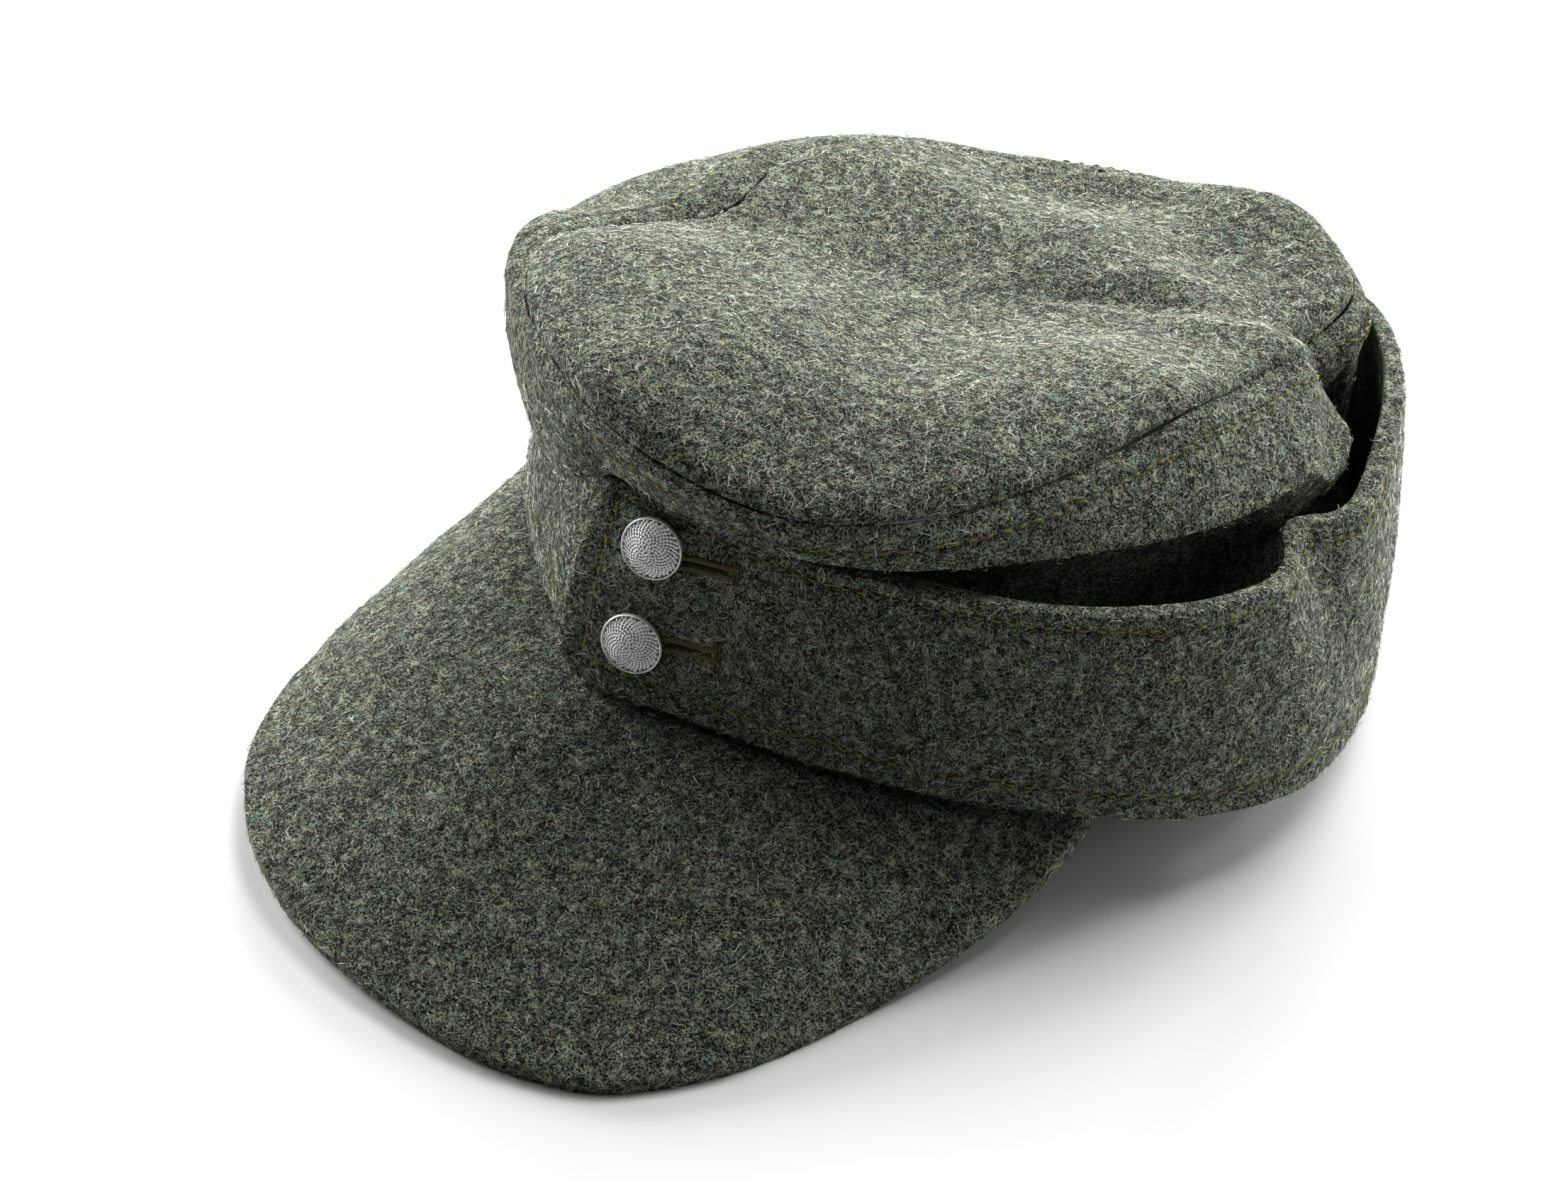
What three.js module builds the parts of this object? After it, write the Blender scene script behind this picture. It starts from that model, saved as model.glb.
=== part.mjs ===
// Field cap of wool cloth, resting on a table on its peak and the back of its rim.
// Millimetres, +Z up, the peak points along -Y, the wearer's left is +X, the table is z = 0.
// Angles run round the head in degrees, from the front (0) over the wearer's left (90) to the back.

import * as THREE from 'three';
import { mergeVertices } from 'three/addons/utils/BufferGeometryUtils.js';

// Driving dimensions
const CLOTH = 2.0;              // one layer of wool cloth
const FLAP_THICKNESS = 4.0;     // the turned-up flap is cloth folded double
const PEAK_THICKNESS = 3.6;     // two layers of cloth over a stiffener
const SEAM_GAP = 0.3;           // clearance between neighbouring pieces
const LAYER_GAP = 0.45;         // clearance between the two flaps where they lap
const RIM_TILT = 9.0;           // degrees, the front of the rim is raised by the peak
const RIM_BACK = 94.0;          // from the middle of the head to the back of the rim
const RIM_DROP = 1.2;           // how far the soft rim settles into its flat resting face
const OVERLAP_END = 17.0;       // degrees, where the right flap ends under the left one
const OVERLAP_START = -1.5;     // degrees, the buttoned front edge of the left flap
const OVERLAP_EASE = 7.0;       // degrees, over which the layers under the overlap step inward
const CROWN_MARGIN = 4.0;       // degrees, by which the crown gives way beyond the overlap
const BACK_SEAM_GAP = 0.2;      // degrees, on either side of the back seam between the flaps
const PEAK_REACH = 66.0;        // degrees, the peak's ends are this far round from the front
const PEAK_TUCK = 6.5;          // how far the peak's sewn edge runs in under the rim
const FLAP_SWELL = 1.0;         // how far the flap bulges between its two edges
const PEAK_BOW = 3.5;           // how far the peak bulges above a straight slope
const WAIST_HEIGHT = 0.5;       // share of the flap's height where the crown's waist begins
const NECK_ABOVE = 1.4;         // the crown may lean over the flap from this far above its edge
const NECK_FLARE = 2.0;         // how much wider the crown is there than at its waist
const NECK_INSIDE = 1.6;        // clearance between the flap's upper edge and the crown there
const EDGE_ROLL = 4.0;          // how far the crown's top swells just inside its seam
const ROLL_WIDTH = 8.0;         // how far in from the seam that swell is complete
const LEAST_ROLL = 0.15;        // share of it that is left where the side lies flat at the seam
const SETTLED = 0.5;            // share of its height that cloth keeps where it rests on the table

const AROUND = 108;             // sections round the whole head
const SIDE_ROWS = 8;            // rows of faces up the crown's side
const HALF_ROW = 0.5 / SIDE_ROWS; // share of the side by which its direction is measured
const RELIEF_FADE = 0.22;       // share of the way in by which the top's swells are whole
const TOP_SHARES = [0, 0.014, 0.045, 0.1, 0.2, 0.35, 0.53, 0.76, 1]; // rings of the crown's top
const FLAP_ROWS = 4;            // rows of faces up a flap
const PEAK_ROWS = 6;            // rows of faces from the peak's sewn edge to its free edge
const PEAK_SECTIONS = 40;       // sections along the peak
const MERGE_WITHIN = 1e-4;      // corners closer than this are one

// Sections of the flap round the head: radii of its two edges from the middle, and its height.
const FLAP_SECTIONS = [
  { angle: -165, rim: 92, top: 82, height: 47 },
  { angle: -145, rim: 90, top: 78, height: 45 },
  { angle: -120, rim: 89, top: 77, height: 45 },
  { angle: -90, rim: 88, top: 77, height: 44 },
  { angle: -70, rim: 86, top: 76, height: 43 },
  { angle: -50, rim: 85, top: 75, height: 41 },
  { angle: -30, rim: 84, top: 76, height: 39 },
  { angle: -18, rim: 85.3, top: 76.5, height: 33 },
  { angle: -7, rim: 88.8, top: 78.2, height: 33.5 },
  { angle: 0, rim: 92, top: 80, height: 43 },
  { angle: 15, rim: 87, top: 78, height: 43 },
  { angle: 30, rim: 85, top: 79, height: 43 },
  { angle: 45, rim: 87, top: 82, height: 44.5 },
  { angle: 60, rim: 90, top: 88, height: 46 },
  { angle: 75, rim: 96, top: 92.5, height: 47 },
  { angle: 90, rim: 98, top: 92.5, height: 48 },
  { angle: 105, rim: 93, top: 89, height: 49 },
  { angle: 120, rim: 88, top: 86, height: 51 },
  { angle: 131, rim: 87, top: 86, height: 52 },
  { angle: 143, rim: 88, top: 87, height: 52 },
  { angle: 155, rim: 90.5, top: 89, height: 51 },
  { angle: 172, rim: 93, top: 87, height: 50 },
];

// Sections of the crown: radii from the middle and heights above the rim, from the waist behind
// the flap over the belly, which hangs out above it, and its upper edge to the seam of the top.
const CROWN_SECTIONS = [
  { angle: -165, waist: 73, belly: 75, bellyUp: 54, edge: 73.5, edgeUp: 57, seam: 69, seamUp: 58.5 },
  { angle: -145, waist: 70, belly: 71, bellyUp: 51, edge: 69, edgeUp: 55.5, seam: 63, seamUp: 57 },
  { angle: -120, waist: 70, belly: 71, bellyUp: 53, edge: 68, edgeUp: 56.5, seam: 61, seamUp: 59.5 },
  { angle: -105, waist: 69.5, belly: 71, bellyUp: 53.5, edge: 67, edgeUp: 57.3, seam: 58.5, seamUp: 60.5 },
  { angle: -90, waist: 69, belly: 71.5, bellyUp: 54, edge: 67.5, edgeUp: 57.3, seam: 55, seamUp: 60.5 },
  { angle: -80, waist: 69, belly: 73.5, bellyUp: 54, edge: 70, edgeUp: 57.3, seam: 51.5, seamUp: 60.5 },
  { angle: -70, waist: 68, belly: 77.5, bellyUp: 53, edge: 73.5, edgeUp: 56.8, seam: 50.5, seamUp: 60 },
  { angle: -60, waist: 67.5, belly: 82, bellyUp: 50.5, edge: 79, edgeUp: 55.5, seam: 55, seamUp: 59.5 },
  { angle: -52, waist: 67, belly: 85.5, bellyUp: 48.5, edge: 84, edgeUp: 55.5, seam: 67, seamUp: 59 },
  { angle: -45, waist: 67, belly: 86, bellyUp: 47, edge: 85.5, edgeUp: 55, seam: 78.5, seamUp: 58.5 },
  { angle: -30, waist: 66, belly: 85.5, bellyUp: 43, edge: 86, edgeUp: 53, seam: 83, seamUp: 59 },
  { angle: -18, waist: 66.5, belly: 85.5, bellyUp: 38, edge: 87, edgeUp: 52, seam: 84, seamUp: 60 },
  { angle: -7, waist: 67, belly: 87, bellyUp: 37.5, edge: 88.5, edgeUp: 52.5, seam: 86.3, seamUp: 61.3 },
  { angle: 0, waist: 67, belly: 86, bellyUp: 47, edge: 88, edgeUp: 55.5, seam: 88, seamUp: 61 },
  { angle: 15, waist: 66, belly: 87, bellyUp: 48.5, edge: 88.3, edgeUp: 53.8, seam: 88, seamUp: 58 },
  { angle: 30, waist: 67, belly: 86, bellyUp: 48.5, edge: 87.2, edgeUp: 53.3, seam: 86, seamUp: 57 },
  { angle: 45, waist: 66, belly: 82.5, bellyUp: 50, edge: 82.5, edgeUp: 56, seam: 80, seamUp: 60 },
  { angle: 60, waist: 66, belly: 79.5, bellyUp: 52, edge: 77.5, edgeUp: 59, seam: 73, seamUp: 64 },
  { angle: 75, waist: 66, belly: 77.5, bellyUp: 52.5, edge: 73, edgeUp: 61, seam: 67, seamUp: 67.5 },
  { angle: 90, waist: 68, belly: 77.5, bellyUp: 52.5, edge: 70.5, edgeUp: 62, seam: 63.5, seamUp: 69 },
  { angle: 105, waist: 75, belly: 77.5, bellyUp: 54, edge: 70, edgeUp: 61, seam: 62, seamUp: 66.5 },
  { angle: 117, waist: 77, belly: 77, bellyUp: 55, edge: 71.5, edgeUp: 61, seam: 64, seamUp: 65.5 },
  { angle: 125, waist: 74, belly: 75, bellyUp: 56, edge: 72.5, edgeUp: 61, seam: 68.5, seamUp: 65 },
  { angle: 131, waist: 68, belly: 70, bellyUp: 56, edge: 68, edgeUp: 59.5, seam: 65, seamUp: 61.5 },
  { angle: 138, waist: 73, belly: 76, bellyUp: 56, edge: 73.5, edgeUp: 59, seam: 69.5, seamUp: 61 },
  { angle: 145, waist: 78, belly: 81, bellyUp: 55.5, edge: 79.5, edgeUp: 58.5, seam: 76.5, seamUp: 61 },
  { angle: 152, waist: 79, belly: 83, bellyUp: 55, edge: 83, edgeUp: 58.5, seam: 81, seamUp: 61 },
  { angle: 162, waist: 79, belly: 83.5, bellyUp: 55, edge: 84, edgeUp: 59, seam: 82.5, seamUp: 61.7 },
  { angle: 172, waist: 78, belly: 82, bellyUp: 55.5, edge: 83, edgeUp: 60, seam: 81.5, seamUp: 63 },
];

// Free edge of the peak, from its right end to its left end: share of the way, place and height.
const PEAK_EDGE = [
  { along: -1.0, x: -76.0, y: -36, z: 13.0 },
  { along: -0.965, x: -71.5, y: -48, z: 12.5 },
  { along: -0.92, x: -70.0, y: -62, z: 9.0 },
  { along: -0.82, x: -70.0, y: -85, z: 1.5 },
  { along: -0.66, x: -62.5, y: -110, z: 1.0 },
  { along: -0.46, x: -47.0, y: -136, z: 1.5 },
  { along: -0.25, x: -24.0, y: -152, z: 2.5 },
  { along: 0.0, x: 6.5, y: -157.5, z: 2.0 },
  { along: 0.25, x: 38.5, y: -153, z: 0.7 },
  { along: 0.46, x: 62.5, y: -141, z: 0.0 },
  { along: 0.66, x: 76.0, y: -117, z: 0.0 },
  { along: 0.82, x: 80.5, y: -87, z: 0.5 },
  { along: 0.92, x: 83.0, y: -61, z: 6.0 },
  { along: 0.965, x: 83.5, y: -48, z: 10.5 },
  { along: 1.0, x: 80.0, y: -36, z: 13.5 },
];

// Swells and hollows of the soft crown top: place, half-widths along and across, turn, rise.
const RELIEF = [
  { x: 6, y: 31, along: 46, across: 8, turn: 10, rise: 4.5 },
  { x: -6, y: 54, along: 38, across: 11, turn: 6, rise: -2.5 },
  { x: 2, y: -5, along: 46, across: 24, turn: 15, rise: -5.5 },
  { x: 20, y: -56, along: 30, across: 12, turn: 35, rise: 2 },
  { x: 41, y: -12, along: 30, across: 12, turn: 84, rise: 2 },
  { x: -44, y: -52, along: 26, across: 12, turn: -6, rise: 2.5 },
  { x: 35, y: 55, along: 24, across: 5.5, turn: -40, rise: 2.5 },
];

// Folds of the crown's side: place round the head, half-width, depth, and middle and half-height.
const CROWN_FOLDS = [
  { angle: 131.5, width: 4, inward: 5, middle: 0.6, reach: 0.3 },
];

// Buckles of the flap's upper edge: place round the head, half-width, depth and lift of the edge.
const FLAP_FOLDS = [
  { angle: 97.5, width: 5, inward: 9, lift: 0.5 },
];

// Buttons on the front of the left flap: place round the head and height above the rim.
const BUTTONS = [
  { name: 'button_upper', angle: 7.2, height: 34.0 },
  { name: 'button_lower', angle: 6.8, height: 13.7 },
];
const BUTTON_RADIUS = 6.0;
const BUTTON_RIM = 0.7;         // width of the raised edge
const BUTTON_LIP = 0.3;         // height of the raised edge above the metal beside it
const BUTTON_CORNER = 0.4;      // bevel of the edge at the button's back
const BUTTON_EDGE = 1.1;        // height of the edge above the button's back
const BUTTON_DOME = 2.6;        // height of the domed middle above the button's back
const BUTTON_GAP = 0.35;        // from the flap to the button's back
const BUTTON_SIDES = 28;
const TURN_STEP = 2;            // degrees, and share of the flap's height, to either side of a
const SHARE_STEP = 0.05;        // button, by which the way that it faces is measured

const WOOL = { color: 0x4f544c, roughness: 0.95, metalness: 0.0 };
const METAL = { color: 0xb9bbbd, roughness: 0.38, metalness: 0.9 };

// Value of one column between two rows, by a cubic that passes through all of them.
function column(rows, key, name, at, period) {
  const count = rows.length;
  const place = (i) => {
    const turns = Math.floor(i / count);
    return rows[i - turns * count][key] + turns * period;
  };
  const value = (i) => rows[((i % count) + count) % count][name];
  const open = period === 0;
  let i = 0;
  while (i < count - 1 && place(i + 1) <= at) i += 1;
  if (open) i = Math.min(i, count - 2);
  const before = open ? Math.max(i - 1, 0) : i - 1;
  const after = open ? Math.min(i + 2, count - 1) : i + 2;
  const span = place(i + 1) - place(i);
  const t = (at - place(i)) / span;
  const slopeIn = (value(i + 1) - value(before)) / (place(i + 1) - place(before)) * span;
  const slopeOut = (value(after) - value(i)) / (place(after) - place(i)) * span;
  const t2 = t * t;
  const t3 = t2 * t;
  return value(i) * (2 * t3 - 3 * t2 + 1) + slopeIn * (t3 - 2 * t2 + t)
    + value(i + 1) * (3 * t2 - 2 * t3) + slopeOut * (t3 - t2);
}

function section(name, angle) {
  const table = name in FLAP_SECTIONS[0] ? FLAP_SECTIONS : CROWN_SECTIONS;
  let turned = angle;
  while (turned < table[0].angle) turned += 360;
  while (turned >= table[0].angle + 360) turned -= 360;
  return column(table, 'angle', name, turned, 360);
}

// Angles of the crown's sections, all the way round from the back.
const ANGLES = range(AROUND, (i) => i * 360 / AROUND - 180);

const ease = THREE.MathUtils.smoothstep;
const mix = THREE.MathUtils.lerp;

// Height of the tilted rim above the table at a place along Y, before the soft back settles.
function rimHeight(y) {
  return (RIM_BACK - y) * Math.tan(THREE.MathUtils.degToRad(RIM_TILT)) - RIM_DROP;
}

// Point of the cap at an angle, a radius and a height above the rim, never below the table.
function at(angle, radius, height) {
  const turn = THREE.MathUtils.degToRad(angle);
  const x = radius * Math.sin(turn);
  const y = -radius * Math.cos(turn);
  return new THREE.Vector3(x, y, Math.max(rimHeight(y) + height, height > 0 ? height * SETTLED : 0));
}

// Extra depth under the overlap at the front, where one more flap lies inside; the margin, in
// degrees, widens it on both sides.
function underlap(angle, margin) {
  const start = OVERLAP_START - margin;
  const end = OVERLAP_END + margin;
  return (FLAP_THICKNESS + LAYER_GAP) * ease(angle, start - OVERLAP_EASE, start)
    * (1 - ease(angle, end, end + OVERLAP_EASE));
}

// Round bump of height one at the middle of a fold.
function bump(place, middle, width) {
  return Math.exp(-(((place - middle) / width) ** 2));
}

// Point of a flap's outer face, in the plane of its section: radius and height above the rim.
function flapSection(angle, share, inset) {
  let radius = mix(section('rim', angle), section('top', angle), share);
  let height = section('height', angle);
  for (const fold of FLAP_FOLDS) {
    radius -= fold.inward * bump(angle, fold.angle, fold.width) * share ** 3;
    height += fold.lift * bump(angle, fold.angle, fold.width);
  }
  const swell = FLAP_SWELL * 4 * share * (1 - share);
  return { radius: radius + swell - inset, height: height * share };
}

// Outer face of the crown's side, from its foot inside the flap (share 0) to the seam (share 1).
function crownSection(angle, share) {
  const depth = FLAP_THICKNESS + underlap(angle, CROWN_MARGIN);
  const foot = section('rim', angle) - depth - SEAM_GAP;
  const flap = flapSection(angle, 1, depth);
  const waist = section('waist', angle);
  const neck = Math.min(waist + NECK_FLARE, flap.radius - NECK_INSIDE);
  const rows = [
    { share: 0, radius: foot, height: 0 },
    { share: 0.25, radius: waist, height: flap.height * WAIST_HEIGHT },
    { share: 0.5, radius: neck, height: flap.height + NECK_ABOVE },
    { share: 0.75, radius: section('belly', angle), height: section('bellyUp', angle) },
    { share: 0.875, radius: section('edge', angle), height: section('edgeUp', angle) },
    { share: 1, radius: section('seam', angle), height: section('seamUp', angle) },
  ];
  let radius = column(rows, 'share', 'radius', share, 0);
  for (const fold of CROWN_FOLDS) {
    radius -= fold.inward * bump(angle, fold.angle, fold.width) * bump(share, fold.middle, fold.reach);
  }
  return { radius, height: column(rows, 'share', 'height', share, 0) };
}

// Sum of the swells and hollows at a place on the crown's top.
function relief(x, y) {
  let sum = 0;
  for (const form of RELIEF) {
    const turn = THREE.MathUtils.degToRad(form.turn);
    const u = ((x - form.x) * Math.cos(turn) + (y - form.y) * Math.sin(turn)) / form.along;
    const v = ((y - form.y) * Math.cos(turn) - (x - form.x) * Math.sin(turn)) / form.across;
    sum += form.rise * Math.exp(-(u * u + v * v));
  }
  return sum;
}

// Even slope of the crown's top: its mean height and its rise along X and Y, from the seam.
function crownSlope() {
  const points = ANGLES.map((angle) => {
    const seam = crownSection(angle, 1);
    return at(angle, seam.radius, seam.height);
  });
  const mean = (take) => points.reduce((sum, point) => sum + take(point), 0) / points.length;
  const middle = new THREE.Vector3(mean((p) => p.x), mean((p) => p.y), mean((p) => p.z));
  const rise = (key) => mean((p) => (p[key] - middle[key]) * (p.z - middle.z))
    / mean((p) => (p[key] - middle[key]) ** 2);
  return { middle, alongX: rise('x'), alongY: rise('y') };
}

const SLOPE = crownSlope();

// Direction of the crown's side where it meets the top: outward and upward parts of length one.
function seamDirection(angle) {
  const below = crownSection(angle, 1 - HALF_ROW);
  const seam = crownSection(angle, 1);
  return new THREE.Vector2(seam.radius - below.radius, seam.height - below.height).normalize();
}

// Upper face of the crown's top panel, from the seam (share 0) to the middle (share 1).
function crownTop(angle, share) {
  const direction = seamDirection(angle);
  const { radius, height } = crownSection(angle, 1);
  const seam = at(angle, radius + direction.x * SEAM_GAP, height + direction.y * SEAM_GAP);
  const x = seam.x * (1 - share);
  const y = seam.y * (1 - share);
  const inside = Math.min(share * radius / ROLL_WIDTH, 1);
  const rolled = mix(Math.max(direction.y, LEAST_ROLL), 1, ease(share, 0, 0.5));
  const roll = EDGE_ROLL * rolled * Math.sqrt(1 - (1 - inside) ** 2);
  const even = SLOPE.middle.z + SLOPE.alongX * (x - SLOPE.middle.x) + SLOPE.alongY * (y - SLOPE.middle.y);
  const inner = mix(seam.z, even, ease(share, 0, 1));
  const fade = ease(share, 0, RELIEF_FADE);
  return new THREE.Vector3(x, y, inner + roll + relief(x, y) * fade);
}

// Lower face of the crown's top panel, one cloth below the upper one along each section.
function crownTopLower(angle, number) {
  const share = TOP_SHARES[number];
  const upper = crownTop(angle, share);
  if (share === 1) return upper.sub(new THREE.Vector3(0, 0, CLOTH));
  const outward = new THREE.Vector3(upper.x, upper.y, 0).normalize();
  let direction = seamDirection(angle);
  if (number > 0) {
    const out = crownTop(angle, TOP_SHARES[number - 1]);
    const far = crownTop(angle, TOP_SHARES[number + 1]);
    direction = new THREE.Vector2(far.clone().sub(out).dot(outward), far.z - out.z).normalize();
  }
  upper.addScaledVector(outward, -CLOTH * direction.y);
  upper.z += CLOTH * direction.x;
  return upper;
}

// Body with its shared corners merged and its collapsed triangles dropped.
function merge(raw) {
  const merged = mergeVertices(raw, MERGE_WITHIN);
  const index = Array.from(merged.index.array);
  const kept = [];
  for (let i = 0; i < index.length; i += 3) {
    const [a, b, c] = index.slice(i, i + 3);
    if (a !== b && b !== c && c !== a) kept.push(a, b, c);
  }
  merged.setIndex(kept);
  return merged;
}

// Closed body from triangles, each of them three points.
function closedBody(triangles) {
  const raw = new THREE.BufferGeometry();
  const corners = triangles.flatMap((triangle) => triangle.flatMap((corner) => corner.toArray()));
  raw.setAttribute('position', new THREE.Float32BufferAttribute(corners, 3));
  return merge(raw);
}

// Faces between two neighbouring lines of points, turned over when flipped.
function strip(triangles, lineA, lineB, flipped) {
  for (let j = 0; j + 1 < lineA.length; j += 1) {
    const quad = [lineA[j], lineB[j], lineB[j + 1], lineA[j + 1]];
    if (flipped) quad.reverse();
    triangles.push([quad[0], quad[1], quad[2]], [quad[0], quad[2], quad[3]]);
  }
}

// Wall between an outer and an inner grid of points, whose lines run upward and follow each other
// round the head; a closed wall joins its last line to its first, an open one gets end faces.
function wall(outer, inner, closed) {
  const triangles = [];
  const count = outer.length;
  const spans = closed ? count : count - 1;
  for (let i = 0; i < spans; i += 1) {
    const next = (i + 1) % count;
    strip(triangles, outer[i], outer[next], false);
    strip(triangles, inner[i], inner[next], true);
    const low = [[inner[i][0], inner[next][0]], [outer[i][0], outer[next][0]]];
    const high = [outer[i], outer[next], inner[next], inner[i]].map((line) => line[line.length - 1]);
    triangles.push([low[0][0], low[0][1], low[1][1]], [low[0][0], low[1][1], low[1][0]]);
    triangles.push([high[0], high[1], high[2]], [high[0], high[2], high[3]]);
  }
  if (!closed) {
    strip(triangles, inner[0], outer[0], false);
    strip(triangles, outer[count - 1], inner[count - 1], false);
  }
  return closedBody(triangles);
}

function range(count, make) {
  return Array.from({ length: count }, (unused, i) => make(i));
}

function piece(name, geometry, finish) {
  geometry.computeVertexNormals();
  const mesh = new THREE.Mesh(geometry, new THREE.MeshStandardMaterial(finish));
  mesh.name = name;
  return mesh;
}

function crownSidePiece() {
  const line = (angle, depth) => range(SIDE_ROWS + 1, (j) => {
    const share = j / SIDE_ROWS;
    const place = crownSection(angle, share);
    const below = crownSection(angle, Math.max(share - HALF_ROW, 0));
    const above = crownSection(angle, Math.min(share + HALF_ROW, 1));
    const across = new THREE.Vector2(above.height - below.height, below.radius - above.radius);
    across.setLength(depth);
    return at(angle, place.radius - across.x, Math.max(place.height - across.y, 0));
  });
  const outer = ANGLES.map((angle) => line(angle, 0));
  const inner = ANGLES.map((angle) => line(angle, CLOTH));
  return piece('crown_side', wall(outer, inner, true), WOOL);
}

function crownTopPiece() {
  const outer = ANGLES.map((angle) => TOP_SHARES.map((share) => crownTop(angle, share)));
  const inner = ANGLES.map((angle) => TOP_SHARES.map((share, j) => crownTopLower(angle, j)));
  return piece('crown_top', wall(outer, inner, true), WOOL);
}

// One flap between two angles, folded double, with its lower edge on the rim.
function flapPiece(name, from, to, inset) {
  const sections = Math.round(AROUND * (to - from) / 360);
  const line = (angle, depth) => range(FLAP_ROWS + 1, (j) => {
    const place = flapSection(angle, j / FLAP_ROWS, inset(angle) + depth);
    return at(angle, place.radius, place.height);
  });
  const angles = range(sections + 1, (i) => mix(from, to, i / sections));
  const outer = angles.map((angle) => line(angle, 0));
  const inner = angles.map((angle) => line(angle, FLAP_THICKNESS));
  return piece(name, wall(outer, inner, false), WOOL);
}

// Point of the peak's upper face: along from its right to its left end, out to its free edge.
function peakPoint(along, out) {
  const angle = along * PEAK_REACH;
  const root = at(angle, section('rim', angle) - PEAK_TUCK, -SEAM_GAP);
  const edge = new THREE.Vector3(
    column(PEAK_EDGE, 'along', 'x', along, 0),
    column(PEAK_EDGE, 'along', 'y', along, 0),
    column(PEAK_EDGE, 'along', 'z', along, 0) + PEAK_THICKNESS,
  );
  const point = root.clone().lerp(edge, out);
  point.z += PEAK_BOW * 4 * out * (1 - out) * (1 - along * along);
  point.z = Math.max(point.z, PEAK_THICKNESS);
  return point;
}

function peakPiece() {
  const down = new THREE.Vector3(0, 0, PEAK_THICKNESS);
  const line = (along) => range(PEAK_ROWS + 1, (j) => peakPoint(along, 1 - j / PEAK_ROWS));
  const upper = range(PEAK_SECTIONS + 1, (i) => line(2 * i / PEAK_SECTIONS - 1));
  const lower = upper.map((points) => points.map((point) => point.clone().sub(down)));
  return piece('peak', wall(upper, lower, false), WOOL);
}

// Domed button with a raised edge, turned to face out of the flap.
function buttonPiece({ name, angle, height }) {
  const profile = [
    new THREE.Vector2(0, 0),
    new THREE.Vector2(BUTTON_RADIUS - BUTTON_CORNER, 0),
    new THREE.Vector2(BUTTON_RADIUS, BUTTON_CORNER),
    new THREE.Vector2(BUTTON_RADIUS, BUTTON_EDGE),
    new THREE.Vector2(BUTTON_RADIUS - BUTTON_RIM * 0.5, BUTTON_EDGE + BUTTON_LIP),
    new THREE.Vector2(BUTTON_RADIUS - BUTTON_RIM, BUTTON_EDGE),
    new THREE.Vector2(BUTTON_RADIUS * 0.6, mix(BUTTON_EDGE, BUTTON_DOME, 0.65)),
    new THREE.Vector2(BUTTON_RADIUS * 0.3, mix(BUTTON_EDGE, BUTTON_DOME, 0.92)),
    new THREE.Vector2(0, BUTTON_DOME),
  ];
  const share = height / section('height', angle);
  const surface = (a, s) => {
    const place = flapSection(a, s, 0);
    return at(a, place.radius, place.height);
  };
  const middle = surface(angle, share);
  const across = surface(angle + TURN_STEP, share).sub(surface(angle - TURN_STEP, share));
  const upward = surface(angle, share + SHARE_STEP).sub(surface(angle, share - SHARE_STEP));
  const normal = across.cross(upward).normalize();
  const raw = new THREE.LatheGeometry(profile, BUTTON_SIDES);
  raw.deleteAttribute('normal');
  raw.deleteAttribute('uv');
  const button = piece(name, merge(raw), METAL);
  button.quaternion.setFromUnitVectors(new THREE.Vector3(0, 1, 0), normal);
  button.position.copy(middle).addScaledVector(normal, BUTTON_GAP);
  return button;
}

const cap = new THREE.Group();
cap.add(crownSidePiece());
cap.add(crownTopPiece());
cap.add(flapPiece('flap_left', OVERLAP_START, 180 - BACK_SEAM_GAP, () => 0));
cap.add(flapPiece('flap_right', -180 + BACK_SEAM_GAP, OVERLAP_END, (angle) => underlap(angle, 0)));
cap.add(peakPiece());
for (const button of BUTTONS) cap.add(buttonPiece(button));

// The origin is on the table, under the middle of the cap's box.
const box = new THREE.Box3().setFromObject(cap);
const middle = box.getCenter(new THREE.Vector3());
cap.position.set(-middle.x, -middle.y, -box.min.z);

export default cap;
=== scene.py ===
"""Field cap of grey-green wool: sewn cloth pieces, nap, stitching, pebbled buttons and a plain studio."""

from __future__ import annotations

import functools
import logging
import math
from dataclasses import dataclass, field
from enum import Enum

import bmesh
import bpy
import numpy as np
from mathutils import Matrix, Vector, noise
from mathutils.bvhtree import BVHTree
from mathutils.kdtree import KDTree


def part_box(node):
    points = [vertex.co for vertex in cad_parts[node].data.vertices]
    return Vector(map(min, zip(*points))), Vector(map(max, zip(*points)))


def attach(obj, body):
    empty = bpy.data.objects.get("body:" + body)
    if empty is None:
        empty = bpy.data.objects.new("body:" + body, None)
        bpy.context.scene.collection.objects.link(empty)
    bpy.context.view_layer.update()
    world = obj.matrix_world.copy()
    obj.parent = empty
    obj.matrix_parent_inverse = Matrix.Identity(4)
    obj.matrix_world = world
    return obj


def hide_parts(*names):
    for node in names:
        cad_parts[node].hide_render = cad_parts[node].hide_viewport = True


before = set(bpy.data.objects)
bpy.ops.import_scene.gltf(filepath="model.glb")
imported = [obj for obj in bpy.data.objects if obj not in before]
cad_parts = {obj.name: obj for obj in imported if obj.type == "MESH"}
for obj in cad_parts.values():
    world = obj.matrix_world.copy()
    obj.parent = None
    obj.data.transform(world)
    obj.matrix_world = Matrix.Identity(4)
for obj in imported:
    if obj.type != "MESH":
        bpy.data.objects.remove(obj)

LOG = logging.getLogger("field_cap")
MM = 0.001
BODY = "root"
SEED = 7
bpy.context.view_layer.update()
SEAM_NAMES = ("seam_low", "seam_high", "seam_end")
FAR = 1.0
MERGED = 0.01 * MM
UNLIKE = (7.3, 3.1, 5.7)
Triple = tuple[float, float, float]
Socket = bpy.types.NodeSocket


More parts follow.
